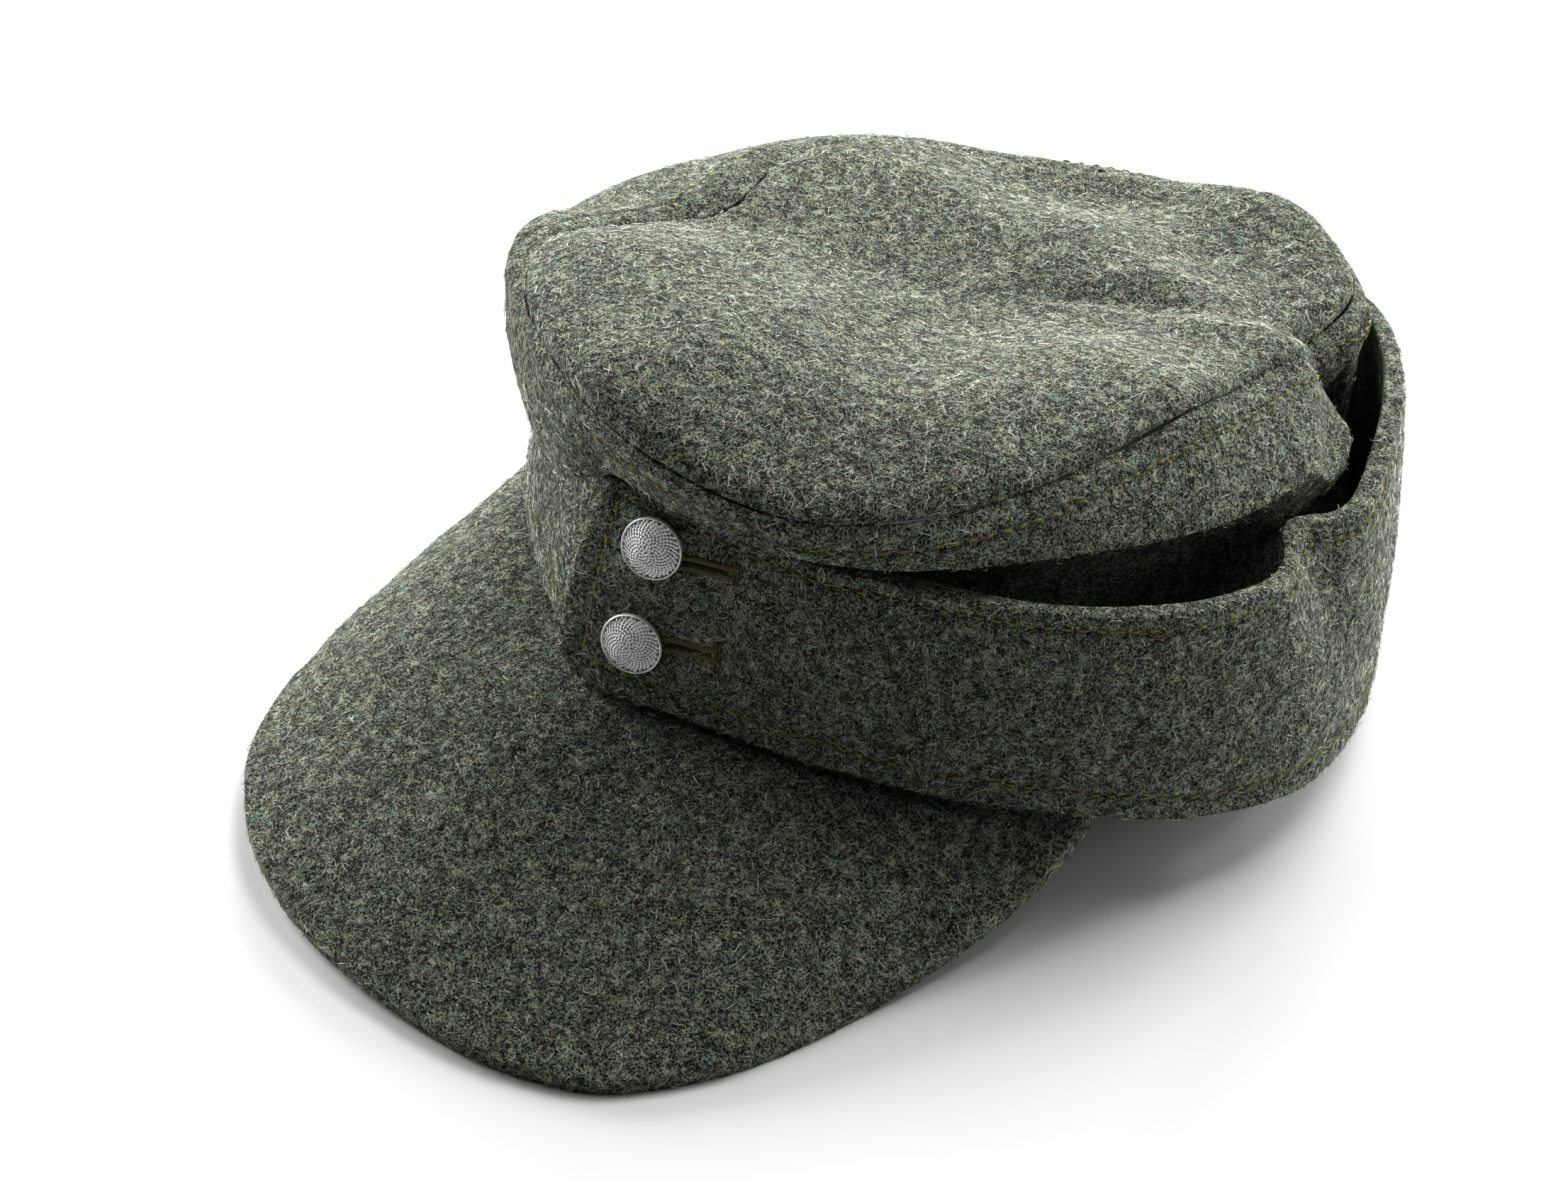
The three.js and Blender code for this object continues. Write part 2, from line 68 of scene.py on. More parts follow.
class Slot(Enum):
    """Names for two of the cap's finishes."""

    WOOL = "wool"
    METAL = "button_metal"


class Side(Enum):
    """Which faces of a cloth piece grow nap."""

    OUTWARD = "outward"
    UPWARD = "upward"
    ALL = "all"


def coordinates(mesh: bpy.types.Mesh) -> np.ndarray:
    """Reads the places of a mesh's vertices.

    Args:
        mesh: The mesh to read.

    Returns:
        One row of x, y and z for each vertex.
    """
    places = np.empty(len(mesh.vertices) * 3)
    mesh.vertices.foreach_get("co", places)
    return places.reshape(-1, 3)


def normals(mesh: bpy.types.Mesh) -> np.ndarray:
    """Reads the directions that a mesh's vertices face.

    Args:
        mesh: The mesh to read.

    Returns:
        One unit row for each vertex.
    """
    rows = np.empty(len(mesh.vertices) * 3)
    mesh.vertex_normals.foreach_get("vector", rows)
    return rows.reshape(-1, 3)


def move_to(mesh: bpy.types.Mesh, places: np.ndarray) -> None:
    """Moves a mesh's vertices, each to its row's x, y and z."""
    mesh.vertices.foreach_set("co", places.ravel())
    mesh.update()


def bump(distance: np.ndarray, width: float) -> np.ndarray:
    """Gives a round bump of height one at a distance of zero."""
    return np.exp(-((distance / width) ** 2))


def smooth_step(low: float, high: float, values: np.ndarray) -> np.ndarray:
    """Rises smoothly from zero at low to one at high."""
    share = np.clip((values - low) / (high - low), 0.0, 1.0)
    return share * share * (3.0 - 2.0 * share)


def ripple(places: np.ndarray, size: float, turn: int) -> np.ndarray:
    """Gives a soft unevenness of about -1 to 1, with swells of one size, unlike at each turn."""
    shift = Vector(UNLIKE) * turn
    return np.array([noise.noise(Vector(row) / size + shift) for row in places])


def unit(rows: np.ndarray) -> np.ndarray:
    """Scales each row to a length of one."""
    return rows / np.maximum(np.linalg.norm(rows, axis=1, keepdims=True), 1e-12)


@dataclass(frozen=True)
class Head:
    """Upright axis that the cap's sections stand round, and the tilted plane of its rim."""

    to_back: float = 93.0 * MM
    to_left: float = 98.06 * MM
    rim_back: float = 94.0 * MM
    rim_drop: float = 1.2 * MM
    rim_tilt: float = math.radians(9.0)
    reach: float = 160.0 * MM

    @functools.cache
    def middle(self) -> np.ndarray:
        """Works out the x and y of the axis from the left flap's box in the frame."""
        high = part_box("flap_left")[1]
        return np.array([high[0] - self.to_left, high[1] - self.to_back])

    def polar(self, places: np.ndarray) -> tuple[np.ndarray, np.ndarray, np.ndarray]:
        """Gives places as angles round the head, radii and heights above the rim.

        Args:
            places: One row of x, y and z for each vertex.

        Returns:
            Degrees from the front over the wearer's left, radii, and heights above the rim.
        """
        across = places[:, :2] - self.middle()
        angle = np.degrees(np.arctan2(across[:, 0], -across[:, 1]))
        radius = np.hypot(across[:, 0], across[:, 1])
        rim = (self.rim_back - across[:, 1]) * math.tan(self.rim_tilt) - self.rim_drop
        return angle, radius, places[:, 2] - rim

    def ray(self, angle: float, height: float) -> tuple[Vector, Vector]:
        """Gives a line that runs in toward the axis and stays at one height above the rim.

        Args:
            angle: Degrees from the front over the wearer's left.
            height: How far it is above the rim.

        Returns:
            A place outside the cap and the line's direction.
        """
        turn = math.radians(angle)
        across = -self.reach * math.cos(turn)
        middle = self.middle()
        slope = math.tan(self.rim_tilt)
        start = Vector((
            middle[0] + self.reach * math.sin(turn),
            middle[1] + across,
            (self.rim_back - across) * slope - self.rim_drop + height,
        ))
        return start, Vector((-math.sin(turn), math.cos(turn), -math.cos(turn) * slope)).normalized()

    def outward(self, places: np.ndarray) -> np.ndarray:
        """Finds the level direction away from the axis.

        Args:
            places: One row of x, y and z for each vertex.

        Returns:
            One unit row for each place.
        """
        across = places - np.array([*self.middle(), 0.0])
        across[:, 2] = 0.0
        return unit(across)


HEAD = Head()


class Graph:
    """Node tree of one material, built by short calls."""

    def __init__(self, name: str) -> None:
        """Starts an empty material.

        Args:
            name: The material's name.
        """
        self.material = bpy.data.materials.new(name)
        self.material.use_nodes = True
        self.tree = self.material.node_tree
        self.tree.nodes.clear()

    def node(self, kind: str, **settings: object) -> bpy.types.Node:
        """Adds a node.

        Args:
            kind: The node's type.
            settings: Its properties by name.

        Returns:
            The new node.
        """
        made = self.tree.nodes.new(kind)
        for key, value in settings.items():
            setattr(made, key, value)
        return made

    def feed(self, socket: Socket, value: object) -> None:
        """Gives a socket its value.

        Args:
            socket: The input to set.
            value: Another node's output to link, or a number or colour.
        """
        if isinstance(value, Socket):
            self.tree.links.new(value, socket)
        else:
            socket.default_value = value

    def math(self, what: str, first: object, second: object = 0.0) -> Socket:
        """Joins two numbers.

        Args:
            what: The operation's name.
            first: A number or a socket.
            second: A number or a socket.

        Returns:
            The result.
        """
        made = self.node("ShaderNodeMath", operation=what)
        self.feed(made.inputs[0], first)
        self.feed(made.inputs[1], second)
        return made.outputs[0]

    def noise(
        self, at: object, scale: float, detail: float = 2.0, roughness: float = 0.5
    ) -> Socket:
        """Adds a noise pattern.

        Args:
            at: The coordinates that it is read at.
            scale: Its number of swells to the metre.
            detail: How many finer patterns ride on it.
            roughness: How strong the finer patterns are.

        Returns:
            Its value, about a half on average.
        """
        made = self.node("ShaderNodeTexNoise")
        self.feed(made.inputs["Vector"], at)
        made.inputs["Scale"].default_value = scale
        made.inputs["Detail"].default_value = detail
        made.inputs["Roughness"].default_value = roughness
        return made.outputs[0]

    def span(self, value: object, low: float, high: float) -> Socket:
        """Stretches a range to that from zero to one, and cuts off the rest.

        Args:
            value: A number or a socket.
            low: What becomes zero.
            high: What becomes one.

        Returns:
            The share.
        """
        made = self.node("ShaderNodeMapRange", clamp=True)
        self.feed(made.inputs["Value"], value)
        made.inputs["From Min"].default_value = low
        made.inputs["From Max"].default_value = high
        return made.outputs[0]

    def blend(self, share: object, first: object, second: object) -> Socket:
        """Mixes two colours.

        Args:
            share: The share of the second colour.
            first: A colour or a socket.
            second: A colour or a socket.

        Returns:
            The mixed colour.
        """
        made = self.node("ShaderNodeMix", data_type="RGBA")
        self.feed(made.inputs[0], share)
        self.feed(made.inputs[6], (*first, 1.0) if isinstance(first, tuple) else first)
        self.feed(made.inputs[7], (*second, 1.0) if isinstance(second, tuple) else second)
        return made.outputs[2]

    def scaled(self, colour: object, factor: object) -> Socket:
        """Multiplies a colour.

        Args:
            colour: A colour's socket.
            factor: A number or a socket.

        Returns:
            The new colour.
        """
        made = self.node("ShaderNodeVectorMath", operation="SCALE")
        self.feed(made.inputs[0], colour)
        self.feed(made.inputs["Scale"], factor)
        return made.outputs[0]

    def value(self, attribute: str) -> Socket:
        """Reads a number that the mesh keeps at its corners."""
        return self.node("ShaderNodeAttribute", attribute_name=attribute).outputs["Fac"]

    def shifted(self, at: object, by: Triple) -> Socket:
        """Moves coordinates.

        Args:
            at: The coordinates.
            by: How far, along each axis.

        Returns:
            The moved coordinates.
        """
        made = self.node("ShaderNodeVectorMath", operation="ADD")
        self.feed(made.inputs[0], at)
        made.inputs[1].default_value = by
        return made.outputs[0]

    def close(self, shader: Socket) -> bpy.types.Material:
        """Ends the material.

        Args:
            shader: What its surface shows.

        Returns:
            The finished material.
        """
        made = self.node("ShaderNodeOutputMaterial")
        self.tree.links.new(shader, made.inputs["Surface"])
        return self.material


@dataclass(frozen=True)
class Wool:
    """Felted melange wool: clouds of green, olive and grey, dark and light flecks, pale curled fibres."""

    body: Triple = (0.076, 0.083, 0.064)
    green: Triple = (0.042, 0.068, 0.061)
    olive: Triple = (0.122, 0.114, 0.064)
    pale: Triple = (0.58, 0.59, 0.48)
    melange_scale: float = 420.0
    melange_detail: float = 5.0
    melange_roughness: float = 0.95
    melange_depth: float = 15.0
    grain_scale: float = 2600.0
    grain_roughness: float = 0.7
    grain_depth: float = 11.0
    depth_range: tuple[float, float] = (-0.85, 1.0)
    darkest: float = 0.15
    lightest: float = 4.3
    green_scale: float = 420.0
    green_shift: Triple = (0.3, 0.1, 0.2)
    green_range: tuple[float, float] = (0.46, 0.60)
    green_share: float = 0.8
    olive_scale: float = 900.0
    olive_shift: Triple = (0.7, 0.4, 0.9)
    olive_range: tuple[float, float] = (0.50, 0.64)
    olive_share: float = 0.7
    fibre_scales: tuple[float, ...] = (560.0, 860.0, 1250.0)
    fibre_shift: Triple = (0.37, 0.21, 0.53)
    fibre_width: float = 0.027
    fibre_widening: float = 0.5
    fibre_share: float = 0.9
    fibre_height: float = 0.35
    gap_scale: float = 1.7
    gap_shift: Triple = (0.9, 0.2, 0.1)
    gap_range: tuple[float, float] = (0.44, 0.60)
    tone_height: float = 0.5
    curl: float = 0.9 * MM
    curl_scale: float = 520.0
    bump_depth: float = 0.7 * MM
    groove_width: float = 1.5 * MM
    groove_depth: float = 2.0
    groove_sharpness: float = 1.6
    roughness: float = 0.95
    specular: float = 0.1
    sheen: float = 0.12
    sheen_roughness: float = 0.4
    sheen_tint: Triple = (0.85, 0.90, 0.74)

    def material(self) -> bpy.types.Material:
        """Builds the wool.

        Returns:
            The finished material.
        """
        graph = Graph("WoolCloth")
        at = graph.node("ShaderNodeTexCoord").outputs["Object"]
        curled = self._curled(graph, at)
        melange = graph.noise(at, self.melange_scale, self.melange_detail, self.melange_roughness)
        melange = graph.math("SUBTRACT", melange, 0.5)
        grain = graph.math("SUBTRACT", graph.noise(curled, self.grain_scale, 2.0, self.grain_roughness), 0.5)
        depth = graph.math(
            "ADD",
            graph.math("MULTIPLY", melange, self.melange_depth),
            graph.math("MULTIPLY", grain, self.grain_depth),
        )
        depth = graph.span(depth, *self.depth_range)
        tone = graph.math("POWER", self.lightest / self.darkest, depth)
        tone = graph.math("MULTIPLY", tone, self.darkest)
        green = self._patches(graph, at, self.green_shift, self.green_scale, self.green_range)
        colour = graph.blend(graph.math("MULTIPLY", green, self.green_share), self.body, self.green)
        olive = self._patches(graph, at, self.olive_shift, self.olive_scale, self.olive_range)
        colour = graph.blend(graph.math("MULTIPLY", olive, self.olive_share), colour, self.olive)
        colour = graph.scaled(colour, tone)
        fibre = self._fibres(graph, curled)
        colour = graph.blend(graph.math("MULTIPLY", fibre, self.fibre_share), colour, self.pale)
        height = graph.math(
            "ADD",
            graph.math("MULTIPLY", fibre, self.fibre_height),
            graph.math("MULTIPLY", depth, self.tone_height),
        )
        for name in SEAM_NAMES:
            off = graph.math("ABSOLUTE", graph.value(name))
            groove = graph.math("SUBTRACT", 1.0, graph.span(off, 0.0, self.groove_width))
            groove = graph.math("POWER", groove, self.groove_sharpness)
            height = graph.math("SUBTRACT", height, graph.math("MULTIPLY", groove, self.groove_depth))
        surface = graph.node("ShaderNodeBump")
        graph.feed(surface.inputs["Height"], height)
        surface.inputs["Distance"].default_value = self.bump_depth
        shader = graph.node("ShaderNodeBsdfPrincipled")
        graph.feed(shader.inputs["Base Color"], colour)
        graph.feed(shader.inputs["Normal"], surface.outputs[0])
        shader.inputs["Roughness"].default_value = self.roughness
        shader.inputs["Specular IOR Level"].default_value = self.specular
        shader.inputs["Sheen Weight"].default_value = self.sheen
        shader.inputs["Sheen Roughness"].default_value = self.sheen_roughness
        shader.inputs["Sheen Tint"].default_value = (*self.sheen_tint, 1.0)
        return graph.close(shader.outputs[0])

    def _patches(
        self, graph: Graph, at: object, shift: Triple, scale: float, limits: tuple[float, float]
    ) -> Socket:
        """Spreads soft patches.

        Args:
            graph: The material's nodes.
            at: The coordinates that they are read at.
            shift: What sets them apart from other patches.
            scale: Their number to the metre.
            limits: The noise where they begin and where they are full.

        Returns:
            One inside a patch and zero outside it.
        """
        value = graph.noise(graph.shifted(at, shift), scale, 3.0, self.grain_roughness)
        return graph.span(value, *limits)

    def _curled(self, graph: Graph, at: object) -> Socket:
        """Bends the coordinates, so that what is read at them curls.

        Args:
            graph: The material's nodes.
            at: The straight coordinates.

        Returns:
            The bent coordinates.
        """
        warp = graph.node("ShaderNodeTexNoise")
        graph.feed(warp.inputs["Vector"], at)
        warp.inputs["Scale"].default_value = self.curl_scale
        centred = graph.shifted(warp.outputs["Color"], (-0.5, -0.5, -0.5))
        curled = graph.node("ShaderNodeVectorMath", operation="ADD")
        graph.feed(curled.inputs[0], at)
        graph.feed(curled.inputs[1], graph.scaled(centred, self.curl))
        return curled.outputs[0]

    def _fibres(self, graph: Graph, at: object) -> Socket:
        """Draws thin curled lines where several noise patterns cross their middle value.

        Args:
            graph: The material's nodes.
            at: The coordinates that they are read at.

        Returns:
            One on a fibre and zero beside it.
        """
        total: object = 0.0
        along, up, deep = self.fibre_shift
        aside, *rest = self.gap_shift
        for turn, scale in enumerate(self.fibre_scales):
            value = graph.noise(graph.shifted(at, (turn * along, turn * up, turn * deep)), scale, 1.0)
            off = graph.math("ABSOLUTE", graph.math("SUBTRACT", value, 0.5))
            width = self.fibre_width * (1.0 + self.fibre_widening * turn)
            line = graph.math("SUBTRACT", 1.0, graph.span(off, 0.0, width))
            gaps = graph.noise(graph.shifted(at, (turn * aside, *rest)), scale * self.gap_scale, 1.0)
            drawn = graph.math("MULTIPLY", line, graph.span(gaps, *self.gap_range))
            total = graph.math("MAXIMUM", total, drawn)
        return total


@dataclass(frozen=True)
class Fibre:
    """Loose wool fibres, each of one colour that its own number picks."""

    dark: Triple = (0.018, 0.026, 0.022)
    pale: Triple = (0.92, 0.93, 0.82)
    roughness: float = 0.6
    specular: float = 0.3
    attribute: str = "tone"

    def material(self) -> bpy.types.Material:
        """Builds the fibres' finish.

        Returns:
            The finished material.
        """
        graph = Graph("WoolFibre")
        tone = graph.value(self.attribute)
        shader = graph.node("ShaderNodeBsdfPrincipled")
        graph.feed(shader.inputs["Base Color"], graph.blend(tone, self.dark, self.pale))
        shader.inputs["Roughness"].default_value = self.roughness
        shader.inputs["Specular IOR Level"].default_value = self.specular
        return graph.close(shader.outputs[0])


@dataclass(frozen=True)
class Thread:
    """Matt sewing thread; a near-black copy of it serves as the painted shade of the buttonholes' slits."""

    name: str = "OliveThread"
    colour: Triple = (0.125, 0.110, 0.030)
    twist_scale: float = 2600.0
    twist_light: float = 1.8
    roughness: float = 0.8

    def material(self) -> bpy.types.Material:
        """Builds the thread's finish.

        Returns:
            The finished material.
        """
        graph = Graph(self.name)
        at = graph.node("ShaderNodeTexCoord").outputs["Object"]
        light = tuple(min(1.0, part * self.twist_light) for part in self.colour)
        colour = graph.blend(graph.noise(at, self.twist_scale, 1.0), self.colour, light)
        shader = graph.node("ShaderNodeBsdfPrincipled")
        graph.feed(shader.inputs["Base Color"], colour)
        shader.inputs["Roughness"].default_value = self.roughness
        return graph.close(shader.outputs[0])


@dataclass(frozen=True)
class ButtonMetal:
    """Pale grey stamped metal with a fine matt grain, painted shade in the hollows between its pebbles, and
    a little random grime.
    """

    colour: Triple = (0.97, 0.97, 0.96)
    # Dark colour of the painted shade in the hollows between the pebbles; the random grime patches use it
    # too.
    pit_shade_and_grime: Triple = (0.16, 0.16, 0.16)
    grain_scale: float = 5200.0
    grain_roughness: float = 0.2
    roughness: float = 0.27
    patch_scale: float = 520.0
    patch_range: tuple[float, float] = (0.45, 0.75)
    patch_share: float = 0.2
    unshaded_height: float = 0.5
    metallic: float = 0.5
    attribute: str = "height"

    def material(self) -> bpy.types.Material:
        """Builds the metal.

        Returns:
            The finished material.
        """
        graph = Graph("ButtonMetal")
        at = graph.node("ShaderNodeTexCoord").outputs["Object"]
        grain = graph.noise(at, self.grain_scale, 3.0)
        shader = graph.node("ShaderNodeBsdfPrincipled")
        # Painted shade: the colour falls to the dark one where the pebble height is low, between the pebbles
        # and in the groove inside the rim. The random patches add a little real grime.
        patch = graph.span(graph.noise(at, self.patch_scale, 3.0), *self.patch_range)
        clean = graph.math("SUBTRACT", 1.0, graph.math("MULTIPLY", patch, self.patch_share))
        unshaded = graph.math("MULTIPLY", graph.span(graph.value(self.attribute), 0.0, self.unshaded_height), clean)
        graph.feed(shader.inputs["Base Color"], graph.blend(unshaded, self.pit_shade_and_grime, self.colour))
        rough = graph.math("ADD", graph.math("MULTIPLY", grain, self.grain_roughness), self.roughness)
        graph.feed(shader.inputs["Roughness"], rough)
        shader.inputs["Metallic"].default_value = self.metallic
        return graph.close(shader.outputs[0])


@dataclass
class Finishes:
    """Every finish of the cap, made once."""

    def __post_init__(self) -> None:
        """Builds the materials."""
        self.wool = Wool().material()
        self.fibre = Fibre().material()
        self.thread = Thread().material()
        self.dark_thread = Thread("DarkThread", (0.070, 0.066, 0.022)).material()
        # Painted shade: a near-black finish for the stitch that stands in for the shadow in each
        # buttonhole's slit.
        self.slit_shade_finish = Thread("PaintedSlitShade", (0.004, 0.004, 0.005)).material()
        self.metal = ButtonMetal().material()


def piece(name: str, mesh: bpy.types.Mesh, finish: bpy.types.Material) -> bpy.types.Object:
    """Shows a mesh as a piece of the cap.

    Args:
        name: The piece's name.
        mesh: Its finished mesh.
        finish: Its material.

    Returns:
        The new object, riding on the cap's body.
    """
    mesh.materials.clear()
    mesh.materials.append(finish)
    mesh.polygons.foreach_set("use_smooth", [True] * len(mesh.polygons))
    made = bpy.data.objects.new(name, mesh)
    bpy.context.scene.collection.objects.link(made)
    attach(made, BODY)
    LOG.info("%s: %d faces", name, len(mesh.polygons))
    return made


def fine_copy(node: str, roll: float, levels: int, sharp_from: float = math.radians(55)) -> bpy.types.Mesh:
    """Copies a solid with rounded edges and finer faces.

    Args:
        node: The solid's name in the frame.
        roll: How far its sharp edges are rounded.
        levels: How many times its faces are quartered.
        sharp_from: The angle from which an edge is sharp.

    Returns:
        The fine mesh.
    """
    shell = bmesh.new()
    shell.from_mesh(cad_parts[node].data)
    bmesh.ops.remove_doubles(shell, verts=shell.verts, dist=MERGED)
    bmesh.ops.join_triangles(
        shell,
        faces=shell.faces,
        angle_face_threshold=math.radians(40),
        angle_shape_threshold=math.radians(80),
    )
    sharp = [edge for edge in shell.edges if edge.calc_face_angle(0.0) > sharp_from]
    bmesh.ops.bevel(
        shell,
        geom=sharp,
        affect="EDGES",
        offset=roll,
        segments=2,
        profile=0.5,
        material=-1,
        clamp_overlap=True,
    )
    mesh = bpy.data.meshes.new(f"{node}_coarse")
    shell.to_mesh(mesh)
    shell.free()
    coarse = bpy.data.objects.new(f"{node}_coarse", mesh)
    bpy.context.scene.collection.objects.link(coarse)
    rounding = coarse.modifiers.new("Fine", "SUBSURF")
    rounding.levels = levels
    rounding.render_levels = levels
    graph = bpy.context.evaluated_depsgraph_get()
    fine = bpy.data.meshes.new_from_object(coarse.evaluated_get(graph))
    bpy.data.objects.remove(coarse)
    bpy.data.meshes.remove(mesh)
    return fine


@dataclass
class Cloth:
    """One sewn piece of wool, made from its solid."""

    node: str
    roll: float = 0.9 * MM
    levels: int = 2
    swell: float = 0.4 * MM
    swell_size: float = 16.0 * MM
    wrinkle: float = 0.14 * MM
    wrinkle_size: float = 5.0 * MM
    nap_side: Side = Side.OUTWARD

    def build(self, finishes: Finishes) -> bpy.types.Object:
        """Builds the piece.

        Args:
            finishes: The cap's materials.

        Returns:
            The finished object.
        """
        mesh = fine_copy(self.node, self.roll, self.levels)
        places = coordinates(mesh)
        facing = normals(mesh)
        lift = self.swell * ripple(places, self.swell_size, 1)
        lift = lift + self.wrinkle * ripple(places, self.wrinkle_size, 2)
        moved = places + facing * lift[:, None] + self.form(places, facing)
        moved[:, 2] = np.maximum(moved[:, 2], np.minimum(places[:, 2], 0.0))
        move_to(mesh, moved)
        for name, values in self.seams(moved).items():
            mesh.attributes.new(name, "FLOAT", "POINT").data.foreach_set("value", values)
        made = piece(f"wool_{self.node}", mesh, finishes.wool)
        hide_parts(self.node)
        return made

    def form(self, places: np.ndarray, facing: np.ndarray) -> np.ndarray:
        """Works out how far the cloth lies from its solid: nowhere, on a plain piece."""
        return np.zeros_like(places)

    def seams(self, places: np.ndarray) -> dict[str, np.ndarray]:
        """Works out how far places lie from the piece's sewn lines: far, on a plain piece."""
        return {name: np.full(len(places), FAR) for name in SEAM_NAMES}


@dataclass
class Flap(Cloth):
    """Turned-up flap with a sewn line along each of its edges."""

    front: float = 0.0
    turn: float = 1.0
    low: float = 6.0 * MM
    below_top: float = 3.2 * MM
    from_end: float = 3.4 * MM
    end_turn: float = 2.4
    edge_span: float = 2.0

    def top_edge(self, places: np.ndarray) -> tuple[np.ndarray, np.ndarray]:
        """Finds the flap's upper edge.

        Args:
            places: The places of its vertices.

        Returns:
            Whole degrees round the head and the edge's height above the rim at each.
        """
        angle, _, height = HEAD.polar(places)
        steps = np.arange(math.floor(angle.min()), math.ceil(angle.max()) + 1.0)
        tops = np.array([height[np.abs(angle - step) < self.edge_span].max() for step in steps])
        return steps, tops

    def seams(self, places: np.ndarray) -> dict[str, np.ndarray]:
        """Measures from the lines above the lower edge, below the upper one and beside the front one.

        Args:
            places: The places of the vertices.

        Returns:
            Distances with a sign for each line's name.
        """
        angle, radius, height = HEAD.polar(places)
        arc = np.radians(angle - self.front) * self.turn * radius
        return {
            "seam_low": height - self.low,
            "seam_high": np.interp(angle, *self.top_edge(places)) - self.below_top - height,
            "seam_end": arc - self.from_end,
        }


@dataclass
class LapFlap(Flap):
    """Flap that laps over the other one, with its buttoned front edge rolled outward into a ridge."""

    edge_lift: float = 3.2 * MM
    edge_reach: float = 13.0
    edge_shift: float = 2.2 * MM
    edge_foot: tuple[float, float] = (-6.0 * MM, 8.0 * MM)
    edge_head: tuple[float, float] = (30.0 * MM, 44.0 * MM)
    head_loss: float = 0.6
    inner_share: float = 0.5
    outer_range: tuple[float, float] = (-0.3, 0.5)
    ridge: float = 0.9 * MM
    ridge_width: float = 1.4
    ridge_from: float = 0.3

    def form(self, places: np.ndarray, facing: np.ndarray) -> np.ndarray:
        """Lifts the front edge, most at its very end and less toward its head.

        Args:
            places: The places of the vertices.
            facing: The directions that they face.

        Returns:
            A move for each vertex.
        """
        angle, _, height = HEAD.polar(places)
        outward = HEAD.outward(places)
        outer = smooth_step(*self.outer_range, np.sum(facing * outward, axis=1))
        near = np.clip(1.0 - (angle - self.front) / self.edge_reach, 0.0, 1.0)
        level = smooth_step(*self.edge_foot, height)
        level *= 1.0 - self.head_loss * smooth_step(*self.edge_head, height)
        lift = self.edge_lift * near * (self.inner_share + (1.0 - self.inner_share) * outer)
        off = angle - self.front - self.ridge_from * self.ridge_width
        lift += self.ridge * outer * bump(off, self.ridge_width)
        move = outward * (lift * level)[:, None]
        move[:, 0] -= self.edge_shift * near * level
        return move


@dataclass
class Crown(Cloth):
    """Panel of the crown, drawn in along the upper seam and sunk behind a steep fold."""

    draw: float = 1.0 * MM
    draw_width: float = 1.7 * MM
    draw_slope: tuple[float, float] = (0.6, 0.8)
    close: float = 0.1 * MM
    close_width: float = 1.0 * MM
    seam_touch: float = 0.5 * MM
    seam_step: float = 3.0
    fold_turn: float = math.radians(50.0)
    fold_start: float = 65.0 * MM
    fold_width: float = 3.6 * MM
    fold_end: float = 72.0 * MM
    fold_fade: float = 9.0 * MM
    fold_drop: float = 4.2 * MM
    fold_heights: tuple[float, float] = (42.0 * MM, 54.0 * MM)
    fold_reach: tuple[float, float] = (-6.0 * MM, 14.0 * MM)

    def form(self, places: np.ndarray, facing: np.ndarray) -> np.ndarray:
        """Draws the seam in, and lets the rear of the left side sink behind the fold.

        Args:
            places: The places of the vertices.
            facing: The directions that they face.

        Returns:
            A move for each vertex.
        """
        across, up = self.draw_slope
        inward = -unit(HEAD.outward(places) * across + np.array([0.0, 0.0, up]))
        off = self.off_seam(places)
        along, toward = self.beside_fold(places)
        sink = smooth_step(self.fold_start, self.fold_start + self.fold_width, along)
        sink *= 1.0 - smooth_step(self.fold_end, self.fold_end + self.fold_fade, along)
        sink *= smooth_step(*self.fold_heights, HEAD.polar(places)[2])
        sink *= smooth_step(*self.fold_reach, toward)
        move = inward * (self.draw * bump(off, self.draw_width))[:, None]
        move[:, 2] += self.close * bump(off, self.close_width) - self.fold_drop * sink
        return move

    def beside_fold(self, places: np.ndarray) -> tuple[np.ndarray, np.ndarray]:
        """Measures from the head's axis, across the fold and along it.

        Args:
            places: One row of x, y and z for each vertex.

        Returns:
            Distances toward the rear of the left side, and along the fold toward its front.
        """
        across = places[:, :2] - HEAD.middle()
        along = across[:, 0] * math.cos(self.fold_turn) + across[:, 1] * math.sin(self.fold_turn)
        toward = across[:, 0] * math.sin(self.fold_turn) - across[:, 1] * math.cos(self.fold_turn)
        return along, toward

    def off_seam(self, places: np.ndarray) -> np.ndarray:
        """Measures how far places lie from the seam.

        Args:
            places: One row of x, y and z for each vertex.

        Returns:
            A distance for each.
        """
        line = self.seam_line()
        best = np.full(len(places), FAR)
        for start, end in zip(line, np.roll(line, -1, axis=0)):
            along = end - start
            share = np.clip((places - start) @ along / max(along @ along, 1e-12), 0.0, 1.0)
            off = np.linalg.norm(places - start - share[:, None] * along, axis=1)
            best = np.minimum(best, off)
        return best

    def seam_line(self) -> np.ndarray:
        """Finds the upper seam.

        Returns:
            The places of the solid's vertices that lie against the crown's top, by their angle.
        """
        side = coordinates(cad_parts["crown_side"].data)
        top = coordinates(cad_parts["crown_top"].data)
        near = KDTree(len(top))
        for number, row in enumerate(top):
            near.insert(row, number)
        near.balance()
        close = np.array([near.find(row)[2] < self.seam_touch for row in side])
        line = side[close]
        angle, radius, height = HEAD.polar(line)
        best: dict[int, int] = {}
        for number, key in enumerate(np.round(angle / self.seam_step).astype(int)):
            if key not in best or radius[number] + height[number] > radius[best[key]] + height[best[key]]:
                best[key] = number
        return line[[best[key] for key in sorted(best)]]


